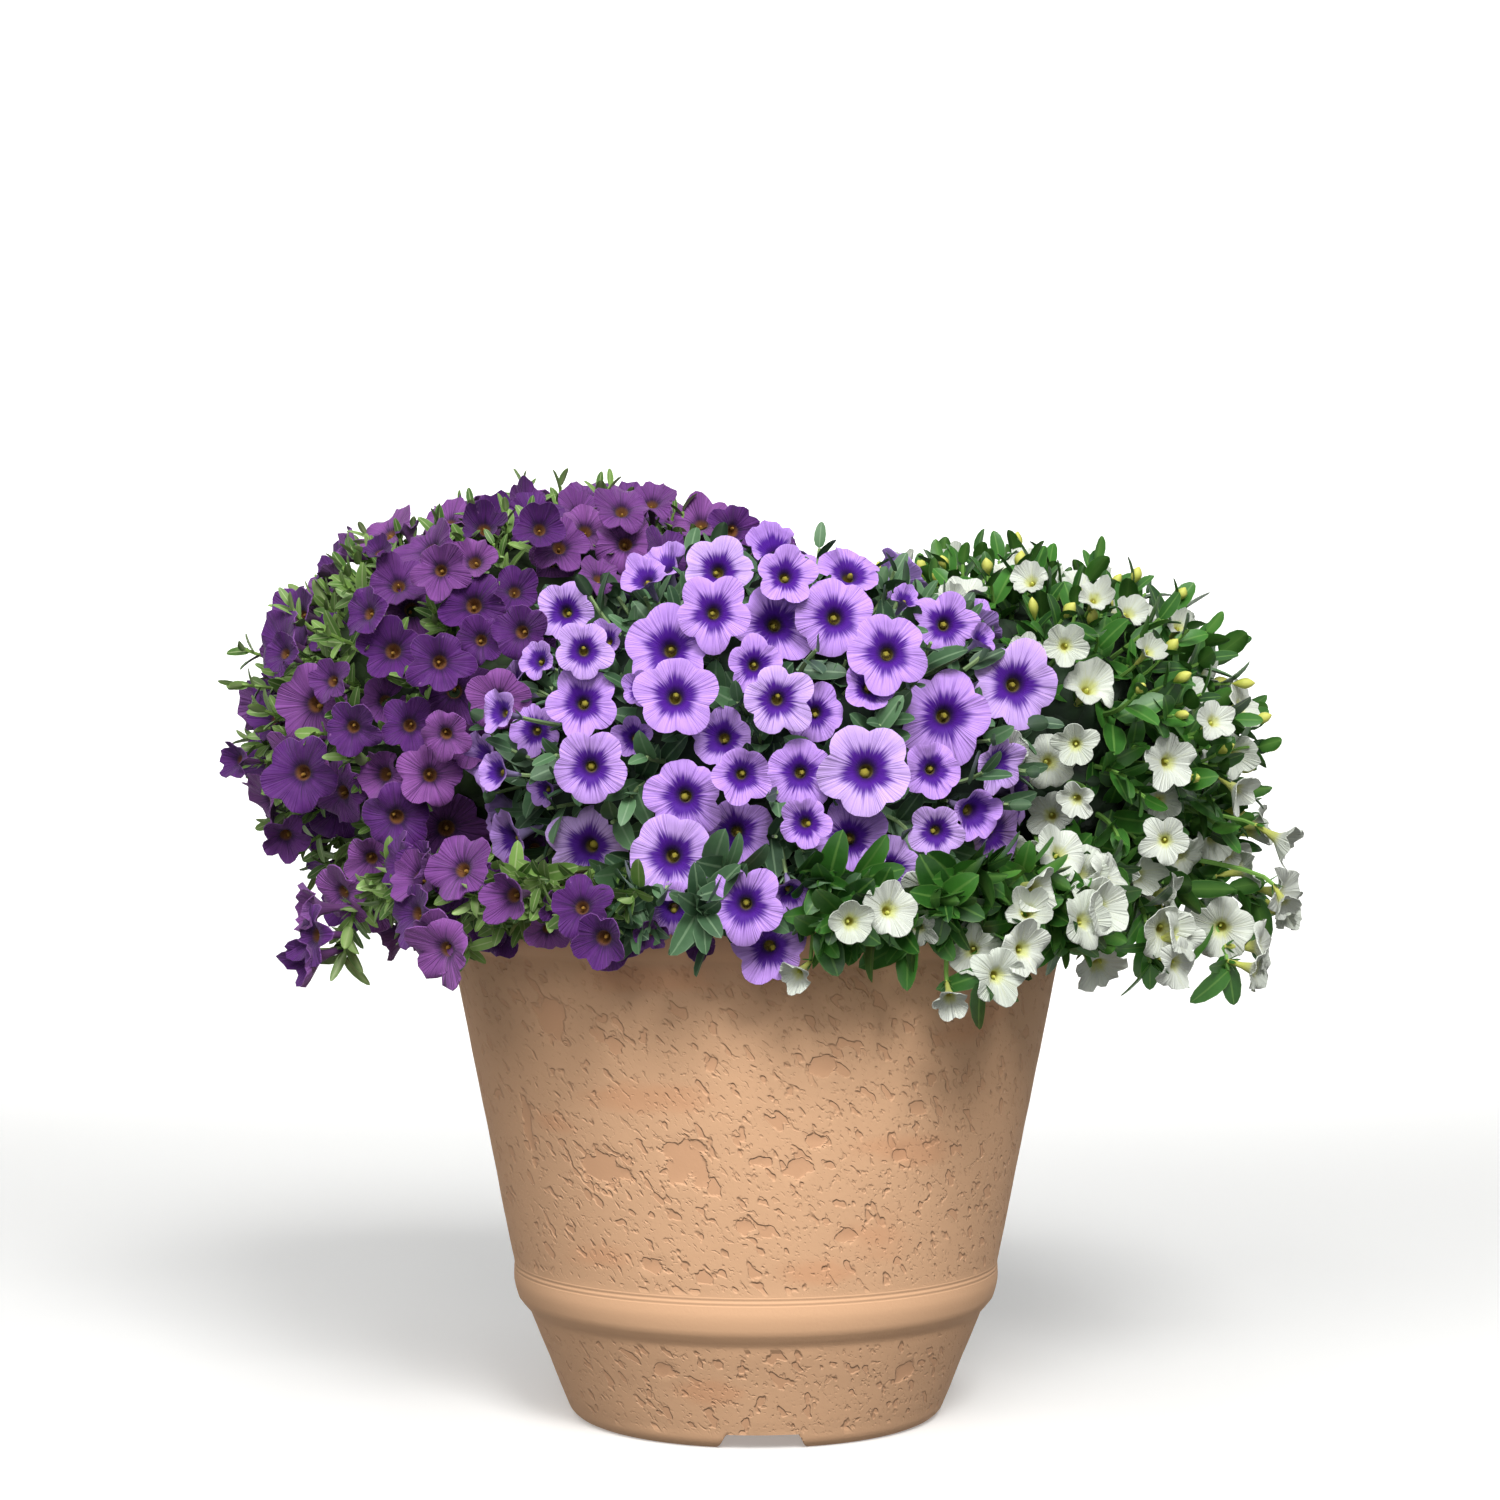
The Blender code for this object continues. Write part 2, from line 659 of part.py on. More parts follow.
def shoot_path(plant, leaves_at, ends_at, far, height):
    """From inside the core, over the rim, then along a quarter of an ellipse out and down."""
    crest_radius = RIM_RADIUS - CREST_INSIDE_RIM
    crest_height = RIM_TOP + OVER_RIM
    crest = outward(leaves_at) * crest_radius + UP * crest_height
    plan = crest - plant["centre"]
    plan.z = 0
    low = (CORE_FLOOR + ROOT_LIFT - plant["centre"].z) / plant["radii"].z
    share = CORE_SHARE * (1 - CORE_DIMPLE)
    width = math.sqrt(share * share - low * low)
    spread = math.hypot(plan.x / plant["radii"].x, plan.y / plant["radii"].y)
    root = plant["centre"] + plan * (width / spread) - plan.normalized() * 2 * ROOT_LIFT
    root.z = CORE_FLOOR + ROOT_LIFT
    steps = 4 + int(abs(ends_at - leaves_at) / DEGREES_PER_STEP)
    path = [root, crest]
    for step in range(1, steps + 1):
        angle = math.pi / 2 * step / steps
        around = leaves_at + (ends_at - leaves_at) * step / steps
        radius = crest_radius + (far - crest_radius) * math.sin(angle)
        drop = (crest_height - height) * (1 - math.cos(angle))
        path.append(outward(around) * radius + UP * (crest_height - drop))
    return path


def shoot_pieces(plant, path, rng):
    """The stem of a shoot with a bloom at its tip, blooms on its way and leaves to each side."""
    yield stem_mesh(path)
    for index, point in enumerate(path[2:]):
        out = Vector((point.x, point.y, 0)).normalized()
        along = (point - path[index + 1]).normalized()
        side = along.cross(out).normalized() * (1 if index % 2 else -1)
        last = index == len(path) - 3
        node = point - along * SUNK
        if last or index % 2 == 1:
            radius = rng.uniform(*plant["bloom_radius"]) * SHOOT_BLOOM_SIZE
            facing = (out + UP * rng.uniform(-0.25, 0.35) + side * rng.uniform(-0.3, 0.3)).normalized()
            middle = node + facing * radius * (FUNNEL_DEPTH + PEDICEL)
            middle += side * (0 if last else 5 * MM)
            yield bloom_mesh(middle, facing, radius, node, rng.uniform(0, math.tau))
        if last or index % 2 == 0:
            length = rng.uniform(*plant["leaf"]) * SHOOT_LEAF_SIZE
            leaf_way = out * 0.45 - side * 0.8 + along * rng.uniform(0.2, 0.7)
            yield leaf_mesh(node, leaf_way, out, length)


def keep_outer_shell(mesh):
    """Fills the hollows that the union sealed: only the largest connected skin stays."""
    bm = bmesh.new()
    bm.from_mesh(mesh)
    bmesh.ops.triangulate(bm, faces=bm.faces)
    unseen = set(bm.faces)
    skins = []
    while unseen:
        queue = [unseen.pop()]
        found = list(queue)
        while queue:
            near = {face for edge in queue.pop().edges for face in edge.link_faces} & unseen
            unseen -= near
            queue.extend(near)
            found.extend(near)
        skins.append(found)
    skins.sort(key=len)
    bmesh.ops.delete(bm, geom=[face for skin in skins[:-1] for face in skin], context="FACES")
    bm.to_mesh(mesh)
    bm.free()


def grown_pieces(plant):
    """Every piece that grows from the core and has room: the crown, mound blooms and shoots."""
    yield crown_mesh(plant)
    rng = random.Random(plant["seed"] + 2)
    for direction, share, radius in mound_blooms(plant):
        facing = facing_for(plant, direction, rng)
        twist = rng.uniform(0, math.tau)
        place = settled(plant, direction, share, facing, radius)
        if place:
            mesh = bloom_mesh(place[0], facing, radius, place[1], twist)
            if fits(plant, mesh):
                yield mesh
    for leaves_at, ends_at, far, height in plant["shoots"]:
        path = shoot_path(plant, leaves_at, ends_at, far * MM, height * MM)
        yield from (mesh for mesh in shoot_pieces(plant, path, rng) if fits(plant, mesh))


def make_plant(plant, collection):
    """One plant: its core joined with all that grows from it, by the solver for meshes this dense."""
    body = add_object(plant["name"], core_mesh(plant), collection)
    finishes = (
        material(plant["name"] + " green", plant["green"], 0.6),
        material(plant["name"] + " petal", plant["petal"], 0.5),
    )
    pieces = helper_collection(plant["name"] + " pieces")
    for mesh in grown_pieces(plant):
        add_object("piece", mesh, pieces)
    for item in (body, *pieces.objects):
        for finish in finishes:
            item.data.materials.append(finish)
    boolean(body, pieces, "UNION", "MANIFOLD")
    keep_outer_shell(body.data)
    return body


def main():
    for old in list(bpy.data.objects):
        bpy.data.objects.remove(old)
    collection = bpy.data.collections.new("calibrachoa planting")
    bpy.context.scene.collection.children.link(collection)
    make_pot(collection)
    make_soil(collection)
    for plant in PLANTS:
        make_plant(plant, collection)


main()
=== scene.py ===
"""Looks of the calibrachoa planting: a terracotta-look resin pot, soil and three flowering plants."""

import functools
import itertools
import math

import bpy
import numpy as np
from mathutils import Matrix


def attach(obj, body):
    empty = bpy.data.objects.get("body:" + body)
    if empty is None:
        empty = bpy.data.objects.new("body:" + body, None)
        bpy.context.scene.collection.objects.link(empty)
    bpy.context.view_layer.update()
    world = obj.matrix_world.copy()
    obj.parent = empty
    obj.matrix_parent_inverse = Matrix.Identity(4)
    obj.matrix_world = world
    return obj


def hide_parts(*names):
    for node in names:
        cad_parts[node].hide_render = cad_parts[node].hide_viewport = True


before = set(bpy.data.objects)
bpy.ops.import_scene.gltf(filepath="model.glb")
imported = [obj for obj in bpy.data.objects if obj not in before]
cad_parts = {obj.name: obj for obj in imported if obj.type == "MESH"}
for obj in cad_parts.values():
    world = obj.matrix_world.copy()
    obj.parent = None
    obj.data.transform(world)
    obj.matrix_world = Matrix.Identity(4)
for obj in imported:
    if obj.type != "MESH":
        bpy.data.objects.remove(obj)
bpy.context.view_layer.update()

# The pot
# One rotationally moulded shell of resin, coloured through to look like weathered terracotta. The
# wall is pitted and flaked in the mould, the roll round its waist is left smooth, and three
# notches in the foot let water out. Seen close it is matt, with cloudy orange patches.
MM = 0.001
COLUMNS = 560
WALL_ROWS = 142
FOOT_PROFILE = ((0, 7), (40, 7), (66, 7), (70, 6.8), (71.8, 1.2), (72.6, 0), (80.7, 0))
OUTER_PROFILE = (
    (80.7, 0), (83.2, 1.1), (85.3, 3.6), (86.6, 6.8), (88.5, 11.2), (94.8, 27.5), (101.6, 43.6),
    (103.3, 47.9), (105.6, 50.2), (108.5, 53.9), (109.7, 57.8), (110.5, 61.7), (110.4, 66.5),
    (110.2, 69.1), (112.7, 81.2), (133.9, 186.6), (139.1, 213), (145, 218.3), (149.2, 223.8),
    (152.0, 230.2), (152.5, 234), (152.5, 238), (150.5, 242.5), (146, 244.4),
)
INNER_PROFILE = (
    (143.3, 243.9), (140.9, 242.4), (139.8, 240), (137.9, 231), (136.8, 226), (134, 213),
    (116.2, 130), (98.3, 48), (91, 29), (84.2, 12), (50, 12), (0, 12),
)
NOTCH_TOP, NOTCH_HALF_TOP, NOTCH_HALF_FOOT = 6.7, 15.2, 19.4
NOTCH_MIDDLES = tuple(math.radians(-90 + 1.8 + 120 * index) for index in range(3))
DRAIN_CIRCLE, DRAIN_RADIUS, DRAIN_SIDES, DRAIN_SPAN = 45, 6, 24, (5, 12.25)
SMOOTH_BANDS = ((-5, 7), (46, 72), (212, 250))
FLAKE_DEPTH = 0.35
# The wall's radius halfway up, by which marks of the front are drawn.
WALL_RADIUS = 122
# Flakes seen on the front: degrees round from the front, height, half width, half height, in mm.
FRONT_FLAKES = (
    (-32.9, 124.8, 13, 8.5), (-14.4, 128, 12.5, 8.5), (-40.8, 186, 7.5, 9), (-26.4, 177.8, 4.5, 5),
    (-52.9, 140, 3.5, 15), (-8.2, 170.7, 3.5, 4.5), (12.4, 169.8, 5.5, 3.5), (8, 125.6, 5.5, 5),
    (-22.4, 82, 8, 3.5), (41.5, 31.3, 6, 4.5), (1.2, 129, 4.5, 2.5), (-23.3, 36, 7, 3),
    (11.8, 138.6, 4.5, 3.5), (-2, 101.8, 4, 3.5), (29.5, 129.8, 4.5, 3.5), (33, 150, 4, 3), (19, 96, 5, 3),
)
# Orange clouds seen on the front, in the same terms.
FRONT_PATCHES = (
    (26.7, 92.6, 22, 14), (-36.3, 84, 24, 7), (33.1, 131.5, 28, 9), (45, 182.8, 18, 8), (-24, 155, 26, 6),
    (-44.3, 142, 15, 6), (-18.4, 205, 32, 7), (14, 80, 22, 6), (-12, 26, 18, 7),
)


def unit(vectors):
    """Each vector over its length."""
    return vectors / np.maximum(np.linalg.norm(vectors, axis=-1, keepdims=True), 1e-12)


def smooth(low, high, value):
    """3t^2 - 2t^3 with t from 0 at low to 1 at high."""
    t = np.clip((value - low) / (high - low), 0, 1)
    return t * t * (3 - 2 * t)


def scatter(cells, seed):
    """A number from 0 to 1 for each whole-number cell, from products of its parts mixed bit by bit."""
    mixed = cells[..., 0] * 73856093 ^ cells[..., 1] * 19349663 ^ cells[..., 2] * 83492791 ^ seed * 2654435
    mixed = (mixed ^ (mixed >> 13)) * 1274126177
    return ((mixed ^ (mixed >> 16)) & 0xFFFFF) / 0xFFFFF


def cloud(points, seed):
    """Value noise from -1 to 1: the scatter of the eight cell corners, blended by 3t^2 - 2t^3."""
    cells = np.floor(points).astype(np.int64)
    part = points - cells
    blend = part * part * (3 - 2 * part)
    total = np.zeros(points.shape[:-1])
    for corner in itertools.product((0, 1), repeat=3):
        weight = np.prod(np.where(corner, blend, 1 - blend), axis=-1)
        total += weight * scatter(cells + np.array(corner), seed)
    return total * 2 - 1


def along_profile(profile, rows):
    """Points at equal steps along a chain of (radius, height) points."""
    chain = np.array(profile, float)
    walked = np.concatenate([[0], np.cumsum(np.linalg.norm(np.diff(chain, axis=0), axis=1))])
    steps = np.linspace(0, walked[-1], rows)
    return np.stack([np.interp(steps, walked, chain[:, 0]), np.interp(steps, walked, chain[:, 1])], 1)


def turned(radius, around, height):
    """Points at radii and heights turned to angles round the axis, broadcast together."""
    return np.stack(np.broadcast_arrays(radius * np.cos(around), radius * np.sin(around), height), -1)


def spots(around, height, marks):
    """How far inside the nearest of some marks a place is: 1 - its stretched distance from the middle."""
    deepest = np.full(around.shape, -1.5)
    for degrees, middle, half_width, half_height in marks:
        beside = np.mod(around - math.radians(degrees - 90) + math.pi, math.tau) - math.pi
        away = np.hypot(beside * WALL_RADIUS / half_width, (height - middle) / half_height)
        deepest = np.maximum(deepest, 1 - away)
    return deepest


def flakes(around, height, points):
    """How far inside a flake a place is: inside a mark of the front or, on the other sides, where two
    sizes of value noise run high, with a ragged edge from two smaller sizes."""
    ragged = 0.4 * cloud(points / 8.0, 21) + 0.3 * cloud(points / 3.4, 22)
    behind = smooth(0.1, 0.5, np.sin(around) + 0.25)
    others = (1.5 * cloud(points / 31.0, 23) + 0.5 * cloud(points / 12.0, 24)) * behind - 1.25
    return np.maximum(others, spots(around, height, FRONT_FLAKES)) + ragged


def patches(around, height, points):
    """How orange a place is: near a cloud of the front or, on the other sides, where level value noise
    runs high, with a soft uneven edge."""
    level = points / np.array((26.0, 26.0, 9.0))
    uneven = 0.5 * cloud(level, 27) + 0.25 * cloud(level * 2.7, 28)
    behind = smooth(0.1, 0.5, np.sin(around) + 0.25)
    others = 1.6 * cloud(level * 0.5, 29) * behind - 0.8
    return smooth(-0.25, 0.75, np.maximum(others, spots(around, height, FRONT_PATCHES)) + uneven)


def skin_faces(copies, rings, around):
    """The corners and sizes of faces for copies of a closed skin: a first point, rings of points that
    run anticlockwise seen from the last ring's side, and a last point."""
    here = np.arange(around)
    after = (here + 1) % around
    first = np.stack([np.zeros(around, int), 1 + after, 1 + here], 1).ravel()
    starts = 1 + around * np.arange(rings - 1)[:, None]
    quads = [starts + here, starts + after, starts + around + after, starts + around + here]
    top = 1 + around * (rings - 1)
    last = np.stack([top + here, top + after, np.full(around, top + around)], 1).ravel()
    one = np.concatenate([first, np.stack(quads, -1).ravel(), last])
    sizes = np.concatenate([np.full(around, 3), np.full(around * (rings - 1), 4), np.full(around, 3)])
    total = rings * around + 2
    return (one + total * np.arange(copies)[:, None]).ravel(), np.tile(sizes, copies)


def placed(name, data):
    """A new object of this data in the scene."""
    made = bpy.data.objects.new(name, data)
    bpy.context.scene.collection.objects.link(made)
    return made


def add_piece(name, skins, finish, node, crease=60):
    """One mesh from skins of (points, corners, sizes, detail, draw), with its material and its place
    in the frame. detail and draw are vectors kept on each point for the material to read."""
    points = np.concatenate([skin[0].reshape(-1, 3) for skin in skins])
    counts = [skin[0].size // 3 for skin in skins]
    starts = np.concatenate([[0], np.cumsum(counts)[:-1]])
    corners = np.concatenate([skin[1] + start for skin, start in zip(skins, starts)])
    sizes = np.concatenate([skin[2] for skin in skins])
    mesh = bpy.data.meshes.new(name)
    mesh.vertices.add(len(points))
    mesh.vertices.foreach_set("co", points.astype(np.float32).ravel())
    mesh.loops.add(len(corners))
    mesh.loops.foreach_set("vertex_index", corners.astype(np.int32))
    mesh.polygons.add(len(sizes))
    mesh.polygons.foreach_set("loop_start", (np.cumsum(sizes) - sizes).astype(np.int32))
    mesh.update(calc_edges=True)
    for place, label in ((3, "detail"), (4, "draw")):
        values = np.concatenate([skin[place].reshape(-1, 3) for skin in skins])
        kept = mesh.attributes.new(label, "FLOAT_VECTOR", "POINT")
        kept.data.foreach_set("vector", values.astype(np.float32).ravel())
    mesh.materials.append(finish)
    mesh.shade_smooth()
    mesh.set_sharp_from_angle(angle=math.radians(crease))
    piece = placed(name, mesh)
    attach(piece, "root")
    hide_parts(node)
    return piece


def pot_skin():
    """The turned profile on a grid of rows and columns, pushed in at its flakes, with the foot's points
    lifted to the notches' outlines."""
    foot = np.array(FOOT_PROFILE[1:-1], float)
    wall = along_profile(OUTER_PROFILE, WALL_ROWS)
    inner = np.array(INNER_PROFILE[:-1], float)
    rows = np.concatenate([foot, wall, inner])
    around = np.arange(COLUMNS) / COLUMNS * math.tau
    radius, turn, height = np.broadcast_arrays(rows[:, :1], around, rows[:, 1:])
    points = turned(radius, turn, height)
    on_wall = np.zeros_like(radius)
    on_wall[len(foot):len(foot) + WALL_ROWS] = 1
    for low, high in SMOOTH_BANDS:
        on_wall *= 1 - smooth(low - 1, low + 1, height) * (1 - smooth(high - 1, high + 1, height))
    patch, flake = patches(turn, height, points), flakes(turn, height, points)
    waves = 0.35 * cloud(points / 45, 5) + 0.12 * cloud(points / 11, 6)
    relief = on_wall * (waves - FLAKE_DEPTH * smooth(-0.1, 0.15, flake))
    radius = radius + relief
    notch = np.zeros_like(radius)
    for middle in NOTCH_MIDDLES:
        facing = np.cos(turn - middle) > 0
        beside = np.abs(radius * np.sin(turn - middle))
        notch = np.maximum(notch, facing * NOTCH_TOP * (1 - smooth(NOTCH_HALF_TOP, NOTCH_HALF_FOOT, beside)))
    height = np.where((radius > 69) & (radius < 90), np.maximum(height, notch), height)
    detail = np.stack([patch, flake, on_wall], -1)
    points = turned(radius, turn, height).reshape(-1, 3)
    points = np.concatenate([[(0, 0, FOOT_PROFILE[0][1])], points, [(0, 0, INNER_PROFILE[-1][1])]]) * MM
    detail = np.concatenate([[(0, -1, 0)], detail.reshape(-1, 3), [(0, -1, 0)]])
    corners, sizes = skin_faces(1, len(rows), COLUMNS)
    return points, corners, sizes, detail, np.zeros_like(detail)


def colour(code):
    """An sRGB hex code as a linear colour."""
    parts = (int(code[place:place + 2], 16) / 255 for place in (1, 3, 5))
    return (*(part / 12.92 if part <= 0.04045 else ((part + 0.055) / 1.055) ** 2.4 for part in parts), 1)


def new_finish(name):
    """A named material, a function that adds a node to it, and its Principled shader."""
    made = bpy.data.materials.new(name)
    made.use_nodes = True
    return made, functools.partial(add_node, made.node_tree), made.node_tree.nodes["Principled BSDF"]


# Fields of a MapRange that eases at both ends, and of a Mix of colours.
SMOOTHED, IN_COLOUR = {"interpolation_type": "SMOOTHSTEP"}, {"data_type": "RGBA"}


def plug(node, sockets):
    """Gives each named or numbered socket of a node its value, or links it to another node's output."""
    for key, value in dict(sockets).items():
        if isinstance(value, bpy.types.NodeSocket):
            node.id_data.links.new(value, node.inputs[key])
        else:
            node.inputs[key].default_value = value


def add_node(tree, kind, sockets=(), **fields):
    """Adds a shader node with its fields and sockets set, and returns its outputs."""
    node = tree.nodes.new("ShaderNode" + kind)
    for field, value in fields.items():
        setattr(node, field, value)
    plug(node, sockets)
    return node.outputs


def kept_on_points(add, label):
    """A vector that a piece keeps on each point, and its three parts."""
    kept = add("Attribute", attribute_name=label)["Vector"]
    return kept, add("SeparateXYZ", {0: kept})


def sunk_pits(add, place):
    """How sunk a place is: chips of 3 to 5 mm and pits of 1 to 2 mm lie where noise runs high, and the
    small ones are shallow."""
    sunk = 0.0
    for scale, low, high, deep in ((165, 0.595, 0.655, 1.0), (340, 0.61, 0.68, 0.5), (700, 0.6, 0.72, 0.22)):
        pits = add("TexNoise", {"Vector": place, "Scale": scale, "Detail": 1.5})[0]
        inside = add("MapRange", {0: pits, 1: low, 2: high, 4: deep}, **SMOOTHED)[0]
        sunk = add("Math", {0: sunk, 1: inside}, operation="MAXIMUM")[0]
    return sunk


def scored_lines(add, height):
    """Two lines scored round the top of the roll, 2 mm apart, where a wave of the height peaks."""
    wave = add("Math", {0: height, 1: math.tau / (2 * MM)}, operation="MULTIPLY")[0]
    wave = add("Math", {0: wave}, operation="SINE")[0]
    near = add("Math", {0: height, 1: 68 * MM}, operation="SUBTRACT")[0]
    near = add("Math", {0: near}, operation="ABSOLUTE")[0]
    near = add("MapRange", {0: near, 1: 1.8 * MM, 2: 2.2 * MM, 3: 0.16, 4: 0.0})[0]
    return add("Math", {0: wave, 1: near}, operation="MULTIPLY")[0]


def resin_finish():
    """Polyethylene moulded to look like weathered terracotta: matt, roughness near 0.8, IOR 1.5."""
    made, add, shader = new_finish("rotomoulded terracotta resin")
    place = add("TexCoord")["Object"]
    parts = kept_on_points(add, "detail")[1]
    # A place is turned round the axis by its height, so that the chips and flakes lean to the left.
    apart = add("SeparateXYZ", {0: place})
    lean = add("Math", {0: apart[2], 1: 4.0}, operation="MULTIPLY")[0]
    leaning = add("VectorRotate", {"Vector": place, "Angle": lean}, rotation_type="Z_AXIS")[0]
    flat = add("VectorMath", {0: leaning, 1: (1, 1, 0.8)}, operation="MULTIPLY")[0]
    sunk = sunk_pits(add, flat)
    edge = add("TexNoise", {"Vector": leaning, "Scale": 160, "Detail": 3})[0]
    edge = add("Math", {0: edge, 1: 2.2, 2: -1.15}, operation="MULTIPLY_ADD")[0]
    flake = add("Math", {0: parts[1], 1: edge}, operation="ADD")[0]
    flake = add("MapRange", {0: flake, 1: -0.08, 2: 0.14}, **SMOOTHED)[0]
    # A flake has a smooth floor, so the chips stop at its edge.
    whole = add("Math", {0: 1.0, 1: flake}, operation="SUBTRACT")[0]
    sunk = add("Math", {0: sunk, 1: whole}, operation="MULTIPLY")[0]
    chipped = add("Math", {0: sunk, 1: flake}, operation="MAXIMUM")[0]
    chipped = add("Math", {0: chipped, 1: parts[2]}, operation="MULTIPLY")[0]
    base = add("Mix", {0: parts[0], 6: colour("#e9b990"), 7: colour("#e7b086")}, **IN_COLOUR)[2]
    shade = add("Math", {0: chipped, 1: 0.4}, operation="MULTIPLY")[0]
    tinted = add("Mix", {0: shade, 6: base, 7: colour("#d99f77")}, **IN_COLOUR)[2]
    scored = scored_lines(add, apart[2])
    carving = add("Math", {0: chipped, 1: scored}, operation="ADD")[0]
    fine = add("TexNoise", {"Vector": place, "Scale": 700, "Detail": 3})[0]
    carved = add("Bump", {"Height": carving, "Strength": 1, "Distance": 0.65 * MM}, invert=True)
    grain = add("Bump", {"Height": fine, "Normal": carved[0], "Strength": 0.3, "Distance": 0.25 * MM})
    plug(shader, {"Base Color": tinted, "Roughness": 0.78, "IOR": 1.5, "Normal": grain[0]})
    return made


def drain(piece, crease=45):
    """Cuts the drain holes from the piece's floor with upright bars, one in line with each notch. The
    solver has to be MANIFOLD, for EXACT sets every point's detail to 0."""
    turn = np.arange(DRAIN_SIDES) / DRAIN_SIDES * math.tau
    bars = []
    for middle in NOTCH_MIDDLES:
        x, y = DRAIN_CIRCLE * math.cos(middle), DRAIN_CIRCLE * math.sin(middle)
        ring = np.stack([x + DRAIN_RADIUS * np.cos(turn), y + DRAIN_RADIUS * np.sin(turn)], 1)
        low, high = (np.column_stack([ring, np.full(DRAIN_SIDES, level)]) for level in DRAIN_SPAN)
        bars += [[(x, y, DRAIN_SPAN[0])], low, high, [(x, y, DRAIN_SPAN[1])]]
    corners, sizes = skin_faces(len(NOTCH_MIDDLES), 2, DRAIN_SIDES)
    faces = np.split(corners, np.cumsum(sizes)[:-1])
    mesh = bpy.data.meshes.new("drain bars")
    mesh.from_pydata((np.concatenate(bars) * MM).tolist(), [], [face.tolist() for face in faces])
    cutter = placed("drain bars", mesh)
    cut = piece.modifiers.new("drain holes", "BOOLEAN")
    cut.operation, cut.solver, cut.object = "DIFFERENCE", "MANIFOLD", cutter
    bpy.context.view_layer.update()
    piece.data = bpy.data.meshes.new_from_object(piece.evaluated_get(bpy.context.evaluated_depsgraph_get()))
    piece.modifiers.clear()
    bpy.data.objects.remove(cutter)
    piece.data.set_sharp_from_angle(angle=math.radians(crease))


shell = add_piece("pot_shell", [pot_skin()], resin_finish(), "pot", crease=45)
drain(shell)

# The soil
# Peat-based potting mix, filled to about 15 mm under the rim and settled a little at its edge. It
# is loose crumbs from 2 to 6 mm across with pale grains of perlite, nearly black when moist.
SOIL_RADIUS, SOIL_EDGE, SOIL_MIDDLE, SOIL_FLOOR = 136.2, 226, 229, 12.5
SOIL_COLUMNS, SOIL_ROWS = 220, 70


def soil_skin():
    """A dome of revolution lifted and sunk by three sizes of value noise, on a plain tapered body."""
    share = np.linspace(0, 1, SOIL_ROWS + 1)[1:][::-1]
    turn = np.arange(SOIL_COLUMNS) / SOIL_COLUMNS * math.tau
    body = np.array([(60, SOIL_FLOOR), (83.6, SOIL_FLOOR), (97.6, 48)])
    radius = np.concatenate([body[:, 0], share * SOIL_RADIUS])[:, None]
    height = np.concatenate([body[:, 1], SOIL_MIDDLE - (SOIL_MIDDLE - SOIL_EDGE) * share ** 2])[:, None]
    points = turned(radius, turn, height)
    crumbs = 1.3 * cloud(points / 9, 31) + 1.0 * cloud(points / 3.8, 32) + 0.5 * cloud(points / 1.9, 33)
    on_top = smooth(220, 225, height)
    points[..., 2] += on_top * np.clip(crumbs, -2, 2.6) - 0.6 * on_top
    points = np.concatenate([[(0, 0, SOIL_FLOOR)], points.reshape(-1, 3), [(0, 0, SOIL_MIDDLE)]]) * MM
    corners, sizes = skin_faces(1, len(radius), SOIL_COLUMNS)
    return points, corners, sizes, points, np.zeros_like(points)


def soil_finish():
    """Moist peat: near black brown, fully rough, with perlite where a 4 mm cell pattern peaks."""
    made, add, shader = new_finish("moist peat potting mix")
    place = add("TexCoord")["Object"]
    crumbs = add("TexNoise", {"Vector": place, "Scale": 260, "Detail": 4})[0]
    brown = add("Mix", {0: crumbs, 6: colour("#1d140e"), 7: colour("#4a3524")}, **IN_COLOUR)[2]
    cells = add("TexVoronoi", {"Vector": place, "Scale": 240})
    grain = add("SeparateColor", {0: cells["Color"]})[0]
    grain = add("MapRange", {0: grain, 1: 0.93, 2: 0.94})[0]
    mixed = add("Mix", {0: grain, 6: brown, 7: colour("#cfc8b8")}, **IN_COLOUR)[2]
    rough = add("Bump", {"Height": crumbs, "Strength": 0.8, "Distance": 1.2 * MM})
    plug(shader, {"Base Color": mixed, "Roughness": 0.95, "Normal": rough[0]})
    return made


add_piece("soil_crumbs", [soil_skin()], soil_finish(), "soil")

# The violet calibrachoa
# A dense mound at the back left, of soft five-lobed funnels on thin stalks over rosettes of small
# oval leaves. Its petals are deep violet and velvety, paler on their backs and with age, with a
# dark eye round a brownish-yellow throat.
# The photograph's camera in mm, looking along y, the tangent that a pixel spans and the middle pixel.
CAMERA = np.array((-2.7, -1392.0, 301.3))
PIXEL = 0.4586 / 1392
PHOTO_MIDDLE = np.array((750.0, 750.0))
RIM_RADIUS, RIM_TOP = 152.5, 244.5
# Within this radius and over this height is the pot's open mouth.
MOUTH_RADIUS, MOUTH_FLOOR = 132, 233
# The stalk of a bloom under this height starts within this radius.
LOW_BLOOM, RIM_INSIDE = 262, 138
# A stem starts this far over the rim's top, and a stalk or a shoot bends this far before its end.
ROOT_LIFT, STALK_BEND, SPRIG_BEND = 4, 14, 22
GOLDEN_ANGLE = math.pi * (3 - math.sqrt(5))
UP = np.array((0.0, 0.0, 1.0))
MOUNDS = {
    "violet": (np.array((-93.0, 42, 315)), np.array((147.0, 126, 106))),
    "lavender": (np.array((4.0, -66, 296)), np.array((123.0, 94, 95))),
    "white": (np.array((112.0, 32, 303)), np.array((118.0, 120, 88))),
}
# How far before the rim the lowest faces of each mound stand.
IN_FRONT = {"violet": 6, "lavender": 15, "white": 11}
# How far the faces of each mound turn away from a common direction.
SCATTERED = {"violet": 0.2, "lavender": 0.1, "white": 0.22}
